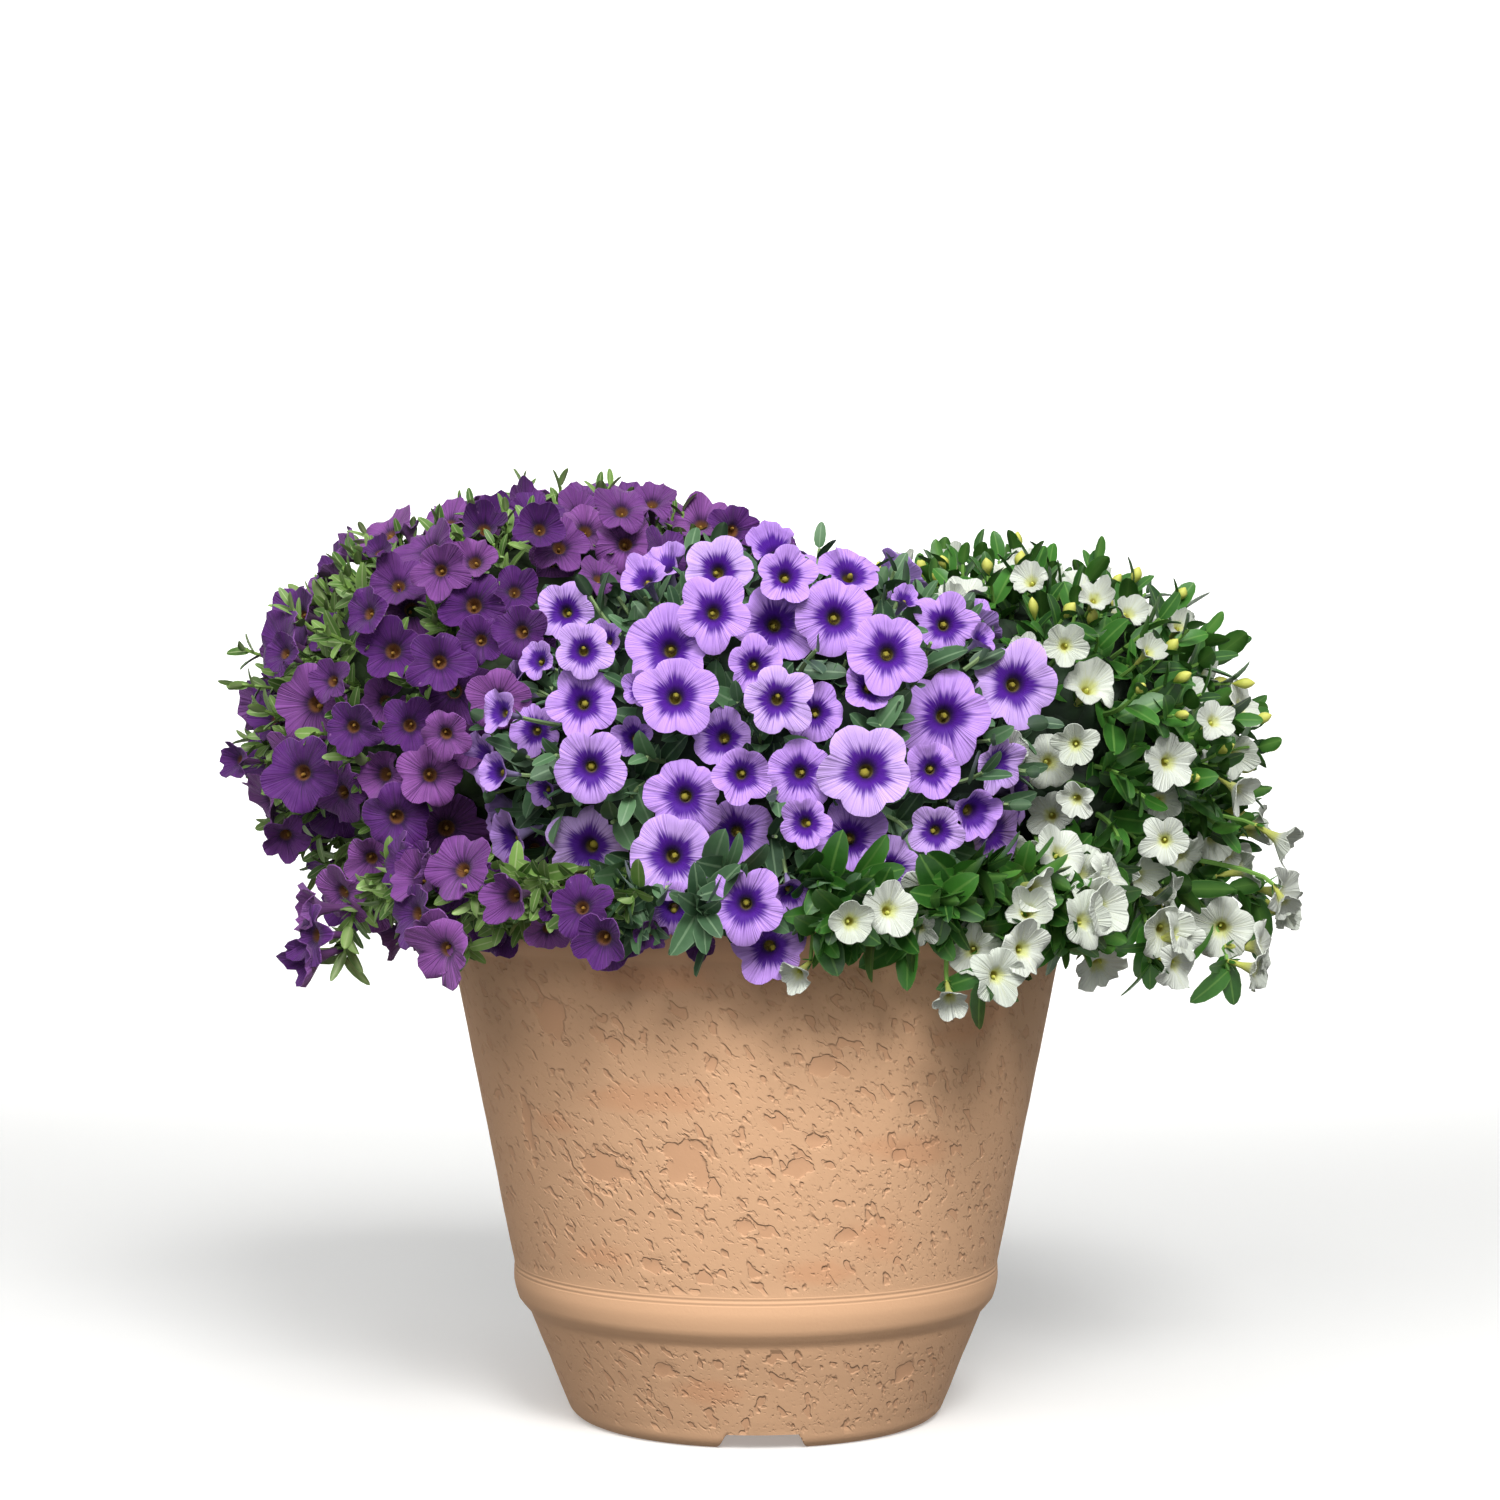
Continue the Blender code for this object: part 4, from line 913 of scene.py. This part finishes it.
def lobe_middles(add, x, y):
    """1 on the line along the middle of each lobe and 0 between two, from the angle in fifths of a turn."""
    turn = add("Math", {0: y, 1: x}, operation="ARCTAN2")[0]
    in_fifths = {1: 5 / math.tau, 2: 5.5}
    steps = (("MULTIPLY_ADD", in_fifths), ("FRACT", {}), ("SUBTRACT", {1: 0.5}), ("ABSOLUTE", {}))
    for operation, others in steps:
        turn = add("Math", {0: turn, **others}, operation=operation)[0]
    return add("MapRange", {0: turn, 1: 0.0, 2: 0.5, 3: 1.0, 4: 0.0})[0]


def faded(add, draw, aged):
    """How faded a petal is: it ages by its bloom's own draw and is mottled about 4 mm across."""
    place = add("TexCoord")["Object"]
    mottle = add("TexNoise", {"Vector": place, "Scale": 240, "Detail": 2})[0]
    fade = add("Math", {0: mottle, 1: 0.35, 2: -0.17}, operation="MULTIPLY_ADD")[0]
    age = add("MapRange", {0: draw, 1: 1 - aged, 2: 1.0, 3: 0.08, 4: 0.9}, **SMOOTHED)[0]
    return add("Math", {0: fade, 1: age}, operation="ADD", use_clamp=True)[0]


def petal_veins(add, way, middle, reach, eye_reach, veins):
    """Thin veins, where the angle's noise crosses its middle value and along each lobe's rib, which
    run out from the eye and fade towards the edge."""
    lines = add("TexNoise", {"Vector": way, "Scale": 9, "Detail": 1})[0]
    vein = add("Math", {0: lines, 1: 0.5}, operation="SUBTRACT")[0]
    vein = add("Math", {0: vein}, operation="ABSOLUTE")[0]
    vein = add("MapRange", {0: vein, 1: 0.0, 2: 0.035, 3: 1, 4: 0.0})[0]
    rib = add("MapRange", {0: middle, 1: 0.93, 2: 0.99})[0]
    vein = add("Math", {0: vein, 1: rib}, operation="MAXIMUM")[0]
    outer = add("MapRange", {0: reach, 1: 1.0, 2: eye_reach + 0.1, 3: 0, 4: veins}, **SMOOTHED)[0]
    return add("Math", {0: vein, 1: outer}, operation="MULTIPLY")[0]


def rayed_eye(add, rays, middle, reach, eye_reach, ray, soft):
    """1 inside the eye and 0 past its edge, which runs farther out on a ray and on a lobe's middle."""
    edge = add("Math", {0: rays, 1: ray * 3.2, 2: eye_reach - ray * 1.6}, operation="MULTIPLY_ADD")[0]
    edge = add("Math", {0: middle, 1: ray * 0.5, 2: edge}, operation="MULTIPLY_ADD")[0]
    past = add("Math", {0: edge, 1: reach}, operation="SUBTRACT")[0]
    return add("MapRange", {0: past, 1: -soft, 2: soft}, **SMOOTHED)[0]


def petal_finish(
    name, limb, pale, eye, centre, throat, back, eye_reach, ray, veins, soft, aged, sheen, crease
):
    """A living petal: soft and finely papillate, so rough with a faint sheen, IOR about 1.4. Colours run
    from the limb, which pales with age, through a rayed eye and its darker centre to the throat, and
    the rays and veins come from noise that depends on the angle alone."""
    made, add, shader = new_finish(name)
    kept, parts = kept_on_points(add, "detail")
    drawn, draws = kept_on_points(add, "draw")
    level = add("VectorMath", {0: kept, 1: (1, 1, 0)}, operation="MULTIPLY")[0]
    reach = add("VectorMath", {0: level}, operation="LENGTH")["Value"]
    way = add("VectorMath", {0: level}, operation="NORMALIZE")[0]
    own = add("VectorMath", {0: drawn, 1: (40, 40, 40)}, operation="MULTIPLY")[0]
    way = add("VectorMath", {0: way, 1: own}, operation="ADD")[0]
    rays = add("TexNoise", {"Vector": way, "Scale": 8, "Detail": 3, "Roughness": 0.75})[0]
    middle = lobe_middles(add, parts[0], parts[1])
    fade = faded(add, draws[0], aged)
    vein = petal_veins(add, way, middle, reach, eye_reach, veins)
    dark = rayed_eye(add, rays, middle, reach, eye_reach, ray, soft)
    inside = add("MapRange", {0: reach, 1: eye_reach * 0.7, 2: 0.08}, **SMOOTHED)[0]
    eyed = add("Mix", {0: inside, 6: colour(eye), 7: colour(centre)}, **IN_COLOUR)[2]
    deep = add("MapRange", {0: reach, 1: throat[1] + 0.05, 2: throat[1] - 0.03}, **SMOOTHED)[0]
    layers = ((fade, colour(pale)), (vein, colour(eye)), (dark, eyed), (deep, colour(throat[0])))
    shown = colour(limb)
    for share, tone in layers:
        shown = add("Mix", {0: share, 6: shown, 7: tone}, **IN_COLOUR)[2]
    tube = add("MapRange", {0: reach, 1: 0.5, 2: 0.12}, **SMOOTHED)[0]
    behind = add("Mix", {0: tube, 6: colour(back[0]), 7: colour(back[1])}, **IN_COLOUR)[2]
    shown = add("Mix", {0: parts[2], 6: behind, 7: shown}, **IN_COLOUR)[2]
    pleats = add("Math", {0: rays, 1: reach}, operation="MULTIPLY")[0]
    crumple = add("Bump", {"Height": pleats, "Strength": 1, "Distance": crease * MM})
    plug(
        shader,
        {
            "Base Color": shown,
            "Roughness": 0.6,
            "IOR": 1.4,
            "Sheen Weight": sheen,
            "Normal": crumple[0],
        },
    )
    return made


def leaf_finish(name, dark, light, rib_tone, gloss):
    """A living leaf: a waxy skin over green, roughness 0.4 to 0.5 and IOR about 1.42, with a paler rib
    and edge and a paler, duller back."""
    made, add, shader = new_finish(name)
    parts = kept_on_points(add, "detail")[1]
    draws = kept_on_points(add, "draw")[1]
    place = add("TexCoord")["Object"]
    mottle = add("TexNoise", {"Vector": place, "Scale": 300, "Detail": 2})[0]
    tone = add("Math", {0: mottle, 1: 0.4, 2: -0.2}, operation="MULTIPLY_ADD")[0]
    tone = add("Math", {0: tone, 1: draws[0]}, operation="ADD", use_clamp=True)[0]
    green = add("Mix", {0: tone, 6: colour(dark), 7: colour(light)}, **IN_COLOUR)[2]
    beside = add("Math", {0: parts[0]}, operation="ABSOLUTE")[0]
    rib = add("MapRange", {0: beside, 1: 0.16, 2: 0.03, 3: 0, 4: 0.6}, **SMOOTHED)[0]
    rim = add("MapRange", {0: beside, 1: 0.86, 2: 1.0, 3: 0, 4: 0.45}, **SMOOTHED)[0]
    back = add("MapRange", {0: parts[2], 1: 0.0, 2: -1.0, 3: 0, 4: 0.5})[0]
    pale = add("Math", {0: rib, 1: rim}, operation="MAXIMUM")[0]
    pale = add("Math", {0: pale, 1: back}, operation="MAXIMUM")[0]
    shown = add("Mix", {0: pale, 6: green, 7: colour(rib_tone)}, **IN_COLOUR)[2]
    veined = add("Bump", {"Height": mottle, "Strength": 0.3, "Distance": 0.3 * MM})
    plug(shader, {"Base Color": shown, "Roughness": gloss, "IOR": 1.42, "Normal": veined[0]})
    return made


def stem_finish(name, low, high, rough=0.55):
    """A young green stem: smooth and slightly hairy, so half rough, paler towards its tip. Pollen is
    fully rough."""
    made, add, shader = new_finish(name)
    parts = kept_on_points(add, "detail")[1]
    place = add("TexCoord")["Object"]
    mottle = add("TexNoise", {"Vector": place, "Scale": 220, "Detail": 2})[0]
    tone = add("Math", {0: mottle, 1: 0.5, 2: -0.2}, operation="MULTIPLY_ADD")[0]
    tone = add("Math", {0: tone, 1: parts[1]}, operation="ADD", use_clamp=True)[0]
    green = add("Mix", {0: tone, 6: colour(low), 7: colour(high)}, **IN_COLOUR)[2]
    plug(shader, {"Base Color": green, "Roughness": rough, "IOR": 1.42})
    return made


def painted_shade_finish(name, dark, light):
    """Painted shade of packed inner leaves: a dark green that stands for their shade, broken up by noise
    at a leaf's 12 mm.
    """
    made, add, shader = new_finish(name)
    place = add("TexCoord")["Object"]
    leafy = add("TexVoronoi", {"Vector": place, "Scale": 85})["Distance"]
    green = add("Mix", {0: leafy, 6: colour(light), 7: colour(dark)}, **IN_COLOUR)[2]
    folded = add("Bump", {"Height": leafy, "Strength": 1, "Distance": 4 * MM}, invert=True)
    plug(shader, {"Base Color": green, "Roughness": 0.8, "Normal": folded[0]})
    return made


def sepals(blooms, seed):
    """Five narrow leaves round the foot of each corolla's tube, lying along it and then turned out."""
    rng = np.random.default_rng(seed)
    middles, facings, sizes, _ = blooms
    side, over = frame_of(facings, rng.uniform(0, math.tau, len(middles)))
    turn = (np.arange(5) / 5 * math.tau)[None, :, None]
    round_it = side[:, None] * np.cos(turn) + over[:, None] * np.sin(turn)
    base = on_axis(blooms, SEPAL_FOOT)[:, None] + round_it * (sizes * 0.06)[:, None, None]
    along = facings[:, None] + round_it * rng.uniform(0.25, 0.7, (len(middles), 5, 1))
    length = np.repeat(sizes * 0.5, 5)
    return blades(
        base.reshape(-1, 3), along.reshape(-1, 3), round_it.reshape(-1, 3), length, length * 0.26,
        np.full(len(length), -0.15), 0.2, rng.uniform(0, 1, (len(length), 3)), stations=(0.25, 0.65),
    )


def anthers(blooms, wide, seed):
    """A small upright oval in each throat, the stigma with the anthers pressed round it."""
    rng = np.random.default_rng(seed)
    middles, facings, sizes, _ = blooms
    share = np.linspace(0, 1, 5)
    length = (sizes * 0.26)[:, None, None]
    paths = on_axis(blooms, STIGMA_FOOT)[:, None] + facings[:, None] * length * share[:, None]
    paths = paths + rng.normal(0, 0.6, (len(middles), 1, 3))
    width = sizes[:, None] * wide * np.sin(math.pi * (0.15 + 0.7 * share))
    width = width * rng.uniform(0.8, 1.2, (len(sizes), 1))
    return tubes(paths, width, 6, rng.uniform(0, 1, (len(middles), 3)))


def buds(tips, axes, length, width, seed):
    """Closed spindles on the shoots' tips: the radius is W sin(pi s^1.3) / 2 along the length."""
    rng = np.random.default_rng(seed)
    share = np.linspace(0.04, 0.97, 8)
    size = rng.uniform(*length, (len(tips), 1))
    paths = tips[:, None] + axes[:, None] * size[..., None] * share[:, None]
    radius = width / 2 * np.sin(math.pi * share ** 1.3)[None] * rng.uniform(0.8, 1.1, (len(tips), 1))
    return tubes(paths, radius, 6, rng.uniform(0, 1, (len(tips), 3)))


def add_plant_piece(plant, part, skins, finish):
    """A piece of one of the three plants."""
    add_piece(f"{plant}_{part}", skins, finish, f"{plant}_calibrachoa")


# Faces in the photograph: pixels across and down, width in pixels, and how far it looks away.
VIOLET_FACES = (
    (398, 583, 56, 0.1), (440, 570, 52, 0.1), (412, 608, 62, 0), (365, 612, 52, 0.4), (392, 650, 66, 0.5),
    (440, 662, 60, 0.1), (473, 605, 66, 0.3), (520, 632, 56, 0.2), (312, 705, 70, 0), (300, 773, 68, 0.1),
    (340, 808, 64, 0), (397, 818, 62, 0), (447, 830, 72, 0), (466, 886, 64, 0), (515, 890, 62, 0),
    (372, 900, 66, 0), (345, 905, 50, 0.4), (410, 725, 56, 0.2), (455, 690, 66, 0), (430, 775, 60, 0.1),
    (498, 700, 58, 0.1), (352, 728, 54, 0.3), (560, 545, 56, 0.3), (625, 542, 58, 0), (622, 508, 54, 0.2),
    (580, 512, 50, 0.3), (540, 528, 52, 0.5), (492, 518, 54, 0.6), (528, 500, 44, 0.7), (700, 520, 60, 0.3),
    (735, 530, 52, 0.2), (668, 553, 56, 0.4), (782, 546, 44, 0.9), (282, 652, 46, 0.8), (330, 636, 48, 0.6),
    (330, 568, 40, 0.9), (378, 550, 38, 0.9), (408, 530, 34, 0.9), (236, 760, 44, 0.9), (286, 838, 50, 0.6),
    (484, 930, 46, 0.3), (610, 932, 74, 0.4), (474, 560, 54, 0.5), (700, 944, 38, 0.8), (385, 700, 50, 0.3),
    (272, 718, 50, 0.5), (553, 560, 50, 0.4), (445, 735, 50, 0.2), (470, 745, 46, 0.3), (370, 860, 52, 0.4),
    (420, 870, 48, 0.3), (652, 500, 50, 0.4), (600, 575, 46, 0.3), (330, 680, 48, 0.5), (515, 590, 50, 0.4),
    (540, 650, 46, 0.4), (480, 640, 50, 0.2), (560, 905, 44, 0.5), (535, 850, 46, 0.3),
    (440, 925, 44, 0.5), (548, 932, 46, 0.4), (650, 935, 40, 0.7), (500, 935, 46, 0.5),
)
VIOLET_SHOOTS = (
    (-67, -22, 171, 228), (-70, -42, 173, 216), (-82, -76, 188, 212), (-128, -124, 186, 214),
    (-153, -155, 182, 218), (-172, -174, 176, 228),
)
mounded = mound_blooms("violet", VIOLET_FACES, 1.15, 300, (14, 17), 11, 21)
shoot_stems, shoot_leaves, shoot_blooms = trailing("violet", VIOLET_SHOOTS, (13, 15.5), (14, 19), 12)
violet = joined(mounded, apart_from(shoot_blooms, mounded, 20))
add_plant_piece(
    "violet", "petals",
    [corollas(violet, PLAIN_COROLLA, 30, 13, 0.25, 0.085, lobe_tilt=(-0.45, 0.22), uneven=0.14)],
    petal_finish(
        "velvety violet petal", "#521670", "#9454a4", "#26083a", "#220824", ("#74491f", 0.19),
        ("#8c58a0", "#5e3068"),
        eye_reach=0.26, ray=0.12, veins=0.8, soft=0.16, aged=0.6, sheen=0.08, crease=3.0,
    ),
)
tips, axes = mound_sprigs("violet", 620, (0.90, 1.06), violet, 14)
hanging = skirt_sprigs(np.arange(-182, -19, 1.9), violet, 15, drop=(-6, 16))
fringe = skirt_sprigs(np.arange(-75, -19, 1.3), violet, 58, drop=(-6, 12), out=(11, 25))
add_plant_piece(
    "violet", "leaves",
    [
        rosette_leaves(tips, axes, 9, 22, (12, 17), (0.36, 0.44), violet, 16, room=(0.5, 0.8)),
        rosette_leaves(*hanging, 7, 8, (12, 17), (0.36, 0.44), violet, 56),
        rosette_leaves(*fringe, 7, 8, (12, 17), (0.36, 0.44), violet, 57, room=(0.45, 0.6)),
        trailing_leaves(shoot_leaves, violet, 0.36, 21), sepals(violet, 17),
    ],
    leaf_finish("soft mid-green leaf", "#3f6426", "#86aa58", "#bccb94", 0.5),
)
add_plant_piece(
    "violet", "stems",
    [sprig_stems("violet", *joined((tips, axes), hanging), 18), stalks("violet", mounded, 19), *shoot_stems],
    stem_finish("young green stem", "#4c6b2c", "#86a855"),
)
add_plant_piece(
    "violet", "anthers", [anthers(violet, 0.065, 20)],
    stem_finish("pollen-dusted anther", "#5e4018", "#96702c", rough=0.95),
)
# The heart's dark green is painted shade, put where the inside of the mound would be in shade.
add_plant_piece(
    "violet", "heart", [heart_skin("violet", 0.84, 51)],
    painted_shade_finish("painted shade of inner leaves", "#0d1608", "#2c4419"),
)

# The lavender calibrachoa
# The front plant, with the largest faces, held flat to the viewer: pale lavender lobes round a
# feathered dark purple star and a small yellow throat. Its leaves are grey-green and blunt.
LAVENDER_FACES = (
    (565, 612, 60, 0.1), (584, 651, 58, 0.1), (538, 660, 46, 0.5), (583, 703, 68, 0), (668, 648, 82, 0),
    (676, 696, 78, 0), (645, 578, 54, 0.6), (718, 570, 68, 0.1), (713, 612, 72, 0), (786, 575, 62, 0.2),
    (775, 625, 78, 0), (836, 617, 78, 0), (850, 572, 68, 0.5), (887, 652, 80, 0), (945, 624, 66, 0.1),
    (1015, 684, 86, 0), (945, 716, 88, 0), (755, 665, 60, 0.3), (778, 700, 70, 0), (815, 713, 58, 0.1),
    (870, 687, 60, 0.6), (866, 770, 88, 0), (932, 770, 60, 0.3), (936, 832, 56, 0.1), (890, 870, 64, 0.1),
    (850, 838, 72, 0), (800, 773, 66, 0), (805, 823, 56, 0.3), (737, 832, 70, 0.1), (742, 775, 62, 0.4),
    (683, 797, 76, 0), (671, 857, 84, 0), (722, 738, 68, 0.4), (634, 738, 50, 0.7), (590, 768, 72, 0),
    (587, 847, 80, 0), (535, 730, 54, 0.1), (500, 712, 50, 0.6), (497, 772, 50, 0.8), (745, 905, 76, 0),
    (673, 910, 60, 0.2), (770, 948, 72, 0.2), (790, 893, 50, 0.7), (895, 903, 34, 0.8), (606, 640, 44, 0.6),
    (545, 790, 40, 0.8), (640, 690, 44, 0.7), (905, 600, 40, 0.8), (980, 640, 38, 0.9),
)
lavender = mound_blooms("lavender", LAVENDER_FACES, 1.05, 120, (14, 17), 21, 28)
add_plant_piece(
    "lavender", "petals",
    [corollas(lavender, FINE_COROLLA, 40, 23, 0.24, 0.042, lobe_tilt=(-0.26, 0.12), uneven=0.1)],
    petal_finish(
        "pale lavender petal", "#c899f2", "#d4b2f5", "#4c0a90", "#220638", ("#8a7824", 0.13),
        ("#b08cdc", "#8f7fae"),
        eye_reach=0.46, ray=0.2, veins=0.6, soft=0.12, aged=0.4, sheen=0.05, crease=1.8,
    ),
)
tips, axes = mound_sprigs("lavender", 420, (0.86, 1.02), lavender, 24, room=(0.86, 1.1))
hanging = skirt_sprigs(np.arange(-21, 10, 2.0), lavender, 25, drop=(-6, 18))
fringe = skirt_sprigs(np.arange(-21, 10, 1.3), lavender, 68, drop=(-6, 12), out=(11, 25))
add_plant_piece(
    "lavender", "leaves",
    [
        rosette_leaves(tips, axes, 7, 30, (17, 24), (0.40, 0.5), lavender, 26, room=(0.78, 2.0)),
        rosette_leaves(*hanging, 7, 8, (17, 24), (0.40, 0.5), lavender, 66, room=(0.78, 2.0)),
        rosette_leaves(*fringe, 7, 8, (17, 24), (0.40, 0.5), lavender, 67, room=(0.6, 1.4)),
        sepals(lavender, 27),
    ],
    leaf_finish("grey-green leaf", "#2a4730", "#5a8057", "#83a07c", 0.5),
)
add_plant_piece(
    "lavender", "stems",
    [sprig_stems("lavender", *joined((tips, axes), hanging), 28), stalks("lavender", lavender, 29)],
    stem_finish("pale green stem", "#4f6e4a", "#93ad76"),
)
add_plant_piece(
    "lavender", "anthers", [anthers(lavender, 0.1, 30)],
    stem_finish("olive stigma", "#6a6220", "#94882f", rough=0.95),
)
# The heart's dark green is painted shade, put where the inside of the mound would be in shade.
add_plant_piece(
    "lavender", "heart", [heart_skin("lavender", 0.78, 61)],
    painted_shade_finish("painted shade of grey-green leaves", "#0b130d", "#27402c"),
)

# The white calibrachoa
# A looser plant at the back right that trails over the rim: small white funnels with yellow
# throats, ribbed yellow buds, and glossy dark leaves on thin arching stems.
WHITE_FACES = (
    (796, 975, 44, 0.7), (820, 900, 44, 0.7), (925, 890, 50, 0.3), (970, 950, 56, 0.2),
    (950, 1000, 44, 0.7), (1005, 850, 50, 0.2), (1040, 855, 40, 0.5), (1050, 762, 58, 0.2),
    (1010, 750, 44, 0.4), (1090, 685, 66, 0.7), (1065, 645, 50, 0.3), (965, 592, 50, 0.5),
    (1030, 580, 46, 0.6), (1050, 815, 50, 0.3), (1125, 890, 64, 0), (1165, 960, 56, 0.3),
    (1100, 968, 60, 0.4), (1220, 930, 66, 0.1), (1285, 905, 40, 0.9), (1283, 842, 50, 0.8),
    (1215, 840, 50, 0.4), (1165, 840, 50, 0.1), (1170, 762, 58, 0.1), (1235, 755, 50, 0.5),
    (1215, 720, 46, 0.5), (1190, 690, 46, 0.6), (1180, 625, 42, 0.8), (1130, 612, 46, 0.7),
    (1095, 597, 44, 0.7), (1240, 792, 48, 0.6), (1160, 800, 46, 0.4), (1025, 912, 46, 0.4),
    (918, 930, 44, 0.5), (1075, 745, 48, 0.3), (1075, 800, 44, 0.5), (990, 775, 42, 0.5),
    (950, 600, 44, 0.5), (1150, 650, 42, 0.7), (1025, 650, 40, 0.6), (1200, 770, 44, 0.4),
)
WHITE_SHOOTS = (
    (67, 14, 170, 226), (69, 30, 171, 208), (71, 46, 172, 226), (76, 72, 184, 206), (82, 84, 214, 204),
    (92, 94, 235, 222), (106, 108, 236, 258), (132, 134, 210, 222), (164, 166, 181, 222),
)
mounded = mound_blooms("white", WHITE_FACES, 1.06, 120, (11, 14), 41, 29)
shoot_stems, shoot_leaves, shoot_blooms = trailing("white", WHITE_SHOOTS, (11.5, 14), (17, 24), 42)
white = joined(mounded, apart_from(shoot_blooms, mounded, 20))
nearby = joined(white, lavender)
add_plant_piece(
    "white", "petals",
    [corollas(white, PLAIN_COROLLA, 30, 43, 0.25, 0.08, lobe_tilt=(-0.45, 0.26), uneven=0.14)],
    petal_finish(
        "white petal", "#e2e7dc", "#d3dacc", "#d4d890", "#c2c154", ("#a39a38", 0.12),
        ("#dde3d6", "#c6cb62"),
        eye_reach=0.24, ray=0.09, veins=0.3, soft=0.12, aged=0.6, sheen=0.1, crease=2.4,
    ),
)
tips, axes = mound_sprigs("white", 420, (0.88, 1.06), nearby, 44)
hanging = skirt_sprigs(np.arange(10, 178, 2.2), nearby, 45, drop=(-6, 24))
fringe = skirt_sprigs(np.arange(8, 66, 2.0), nearby, 88, drop=(-8, 12), out=(16, 26))
add_plant_piece(
    "white", "leaves",
    [
        rosette_leaves(tips, axes, 7, 30, (16, 24), (0.46, 0.58), nearby, 46),
        rosette_leaves(*hanging, 7, 8, (16, 24), (0.46, 0.58), nearby, 86),
        rosette_leaves(*fringe, 7, 8, (16, 24), (0.46, 0.58), nearby, 87),
        trailing_leaves(shoot_leaves, nearby, 0.48, 53), sepals(white, 47),
    ],
    leaf_finish("glossy dark leaf", "#1b4416", "#417c2b", "#6c9848", 0.4),
)
add_plant_piece(
    "white", "stems",
    [sprig_stems("white", *joined((tips, axes), hanging), 48), stalks("white", mounded, 49), *shoot_stems],
    stem_finish("thin green stem", "#4d7a34", "#7fae50"),
)
add_plant_piece(
    "white", "buds", [buds(tips[::3], axes[::3], (8, 13), 5.6, 50), anthers(white, 0.06, 52)],
    stem_finish("yellow bud", "#b4bc48", "#d2d368"),
)
# The heart's dark green is painted shade, put where the inside of the mound would be in shade.
add_plant_piece(
    "white", "heart", [heart_skin("white", 0.78, 71)],
    painted_shade_finish("painted shade of glossy leaves", "#08120a", "#1c3a18"),
)

# The studio
# A white bowl without an edge that glows a little, five softboxes and the photograph's camera: level,
# 1.39 m in front of the pot and at the height of the plants, with a long lens.
BOWL = ((0, 0), (2.4, 0), (2.75, 0.05), (3.05, 0.2), (3.25, 0.45), (3.35, 0.8), (3.4, 1.4), (3.4, 3.2))
BOWL_STEPS = 96


def studio_bowl():
    """The bowl's profile turned round the pot's axis."""
    profile = np.array(BOWL[1:])
    here = np.arange(BOWL_STEPS)
    after = (here + 1) % BOWL_STEPS
    rings = turned(profile[:, :1], here / BOWL_STEPS * math.tau, profile[:, 1:])
    points = np.concatenate([[(0, 0, 0)], rings.reshape(-1, 3)])
    middle = np.stack([np.zeros(BOWL_STEPS, int), 1 + here, 1 + after], 1).tolist()
    low = 1 + BOWL_STEPS * np.arange(len(profile) - 1)[:, None]
    high = low + BOWL_STEPS
    walls = np.stack([low + here, high + here, high + after, low + after], -1).reshape(-1, 4)
    mesh = bpy.data.meshes.new("studio bowl")
    mesh.from_pydata(points.tolist(), [], middle + walls.tolist())
    mesh.shade_smooth()
    made, _, shader = new_finish("lit white acrylic")
    plug(
        shader,
        {
            "Base Color": colour("#ececea"),
            "Emission Color": (1, 1, 1, 1),
            "Emission Strength": 0.26,
            "Roughness": 0.9,
        },
    )
    mesh.materials.append(made)
    bowl = placed("studio_bowl", mesh)
    # It takes shadows but throws no light back, like the ground of a cut-out photograph.
    bowl.visible_diffuse = False


def softbox(name, place, aim, size, power, spread=180):
    """A square area light turned to a point, its beam as wide as the spread in degrees."""
    light = bpy.data.lights.new(name, "AREA")
    light.spread = math.radians(spread)
    light.size = size
    light.energy = power
    box = placed(name, light)
    box.location = place
    away = np.array(place) - np.array(aim)
    flat = math.hypot(away[0], away[1])
    box.rotation_euler = (math.atan2(flat, away[2]), 0, math.atan2(away[0], -away[1]))


studio_bowl()
softbox("key softbox", (0.45, -1.95, 2.0), (0, 0, 0.22), 0.9, 60)
softbox("fill softbox", (-0.75, -2.0, 1.9), (0, 0, 0.2), 1.4, 28)
softbox("front softbox", (-0.2, -2.6, 0.9), (0, 0, 0.2), 1.2, 8)
softbox("top softbox", (0, 0.4, 2.6), (0, 0, 0.3), 1.6, 7)
softbox("wall softbox", (0, 1.2, 2.7), (0, 3.4, 0.7), 1.6, 50, spread=110)
world = bpy.data.worlds.new("white room")
world.use_nodes = True
plug(world.node_tree.nodes["Background"], {"Color": (1, 1, 1, 1), "Strength": 0.17})
bpy.context.scene.world = world
bpy.context.scene.view_settings.view_transform = "Standard"
lens = bpy.data.cameras.new("photo camera")
lens.sensor_width = 36
lens.lens = 72.9
camera = placed("photo camera", lens)
camera.location = CAMERA * MM
camera.rotation_euler = (math.pi / 2, 0, 0)
bpy.context.scene.camera = camera
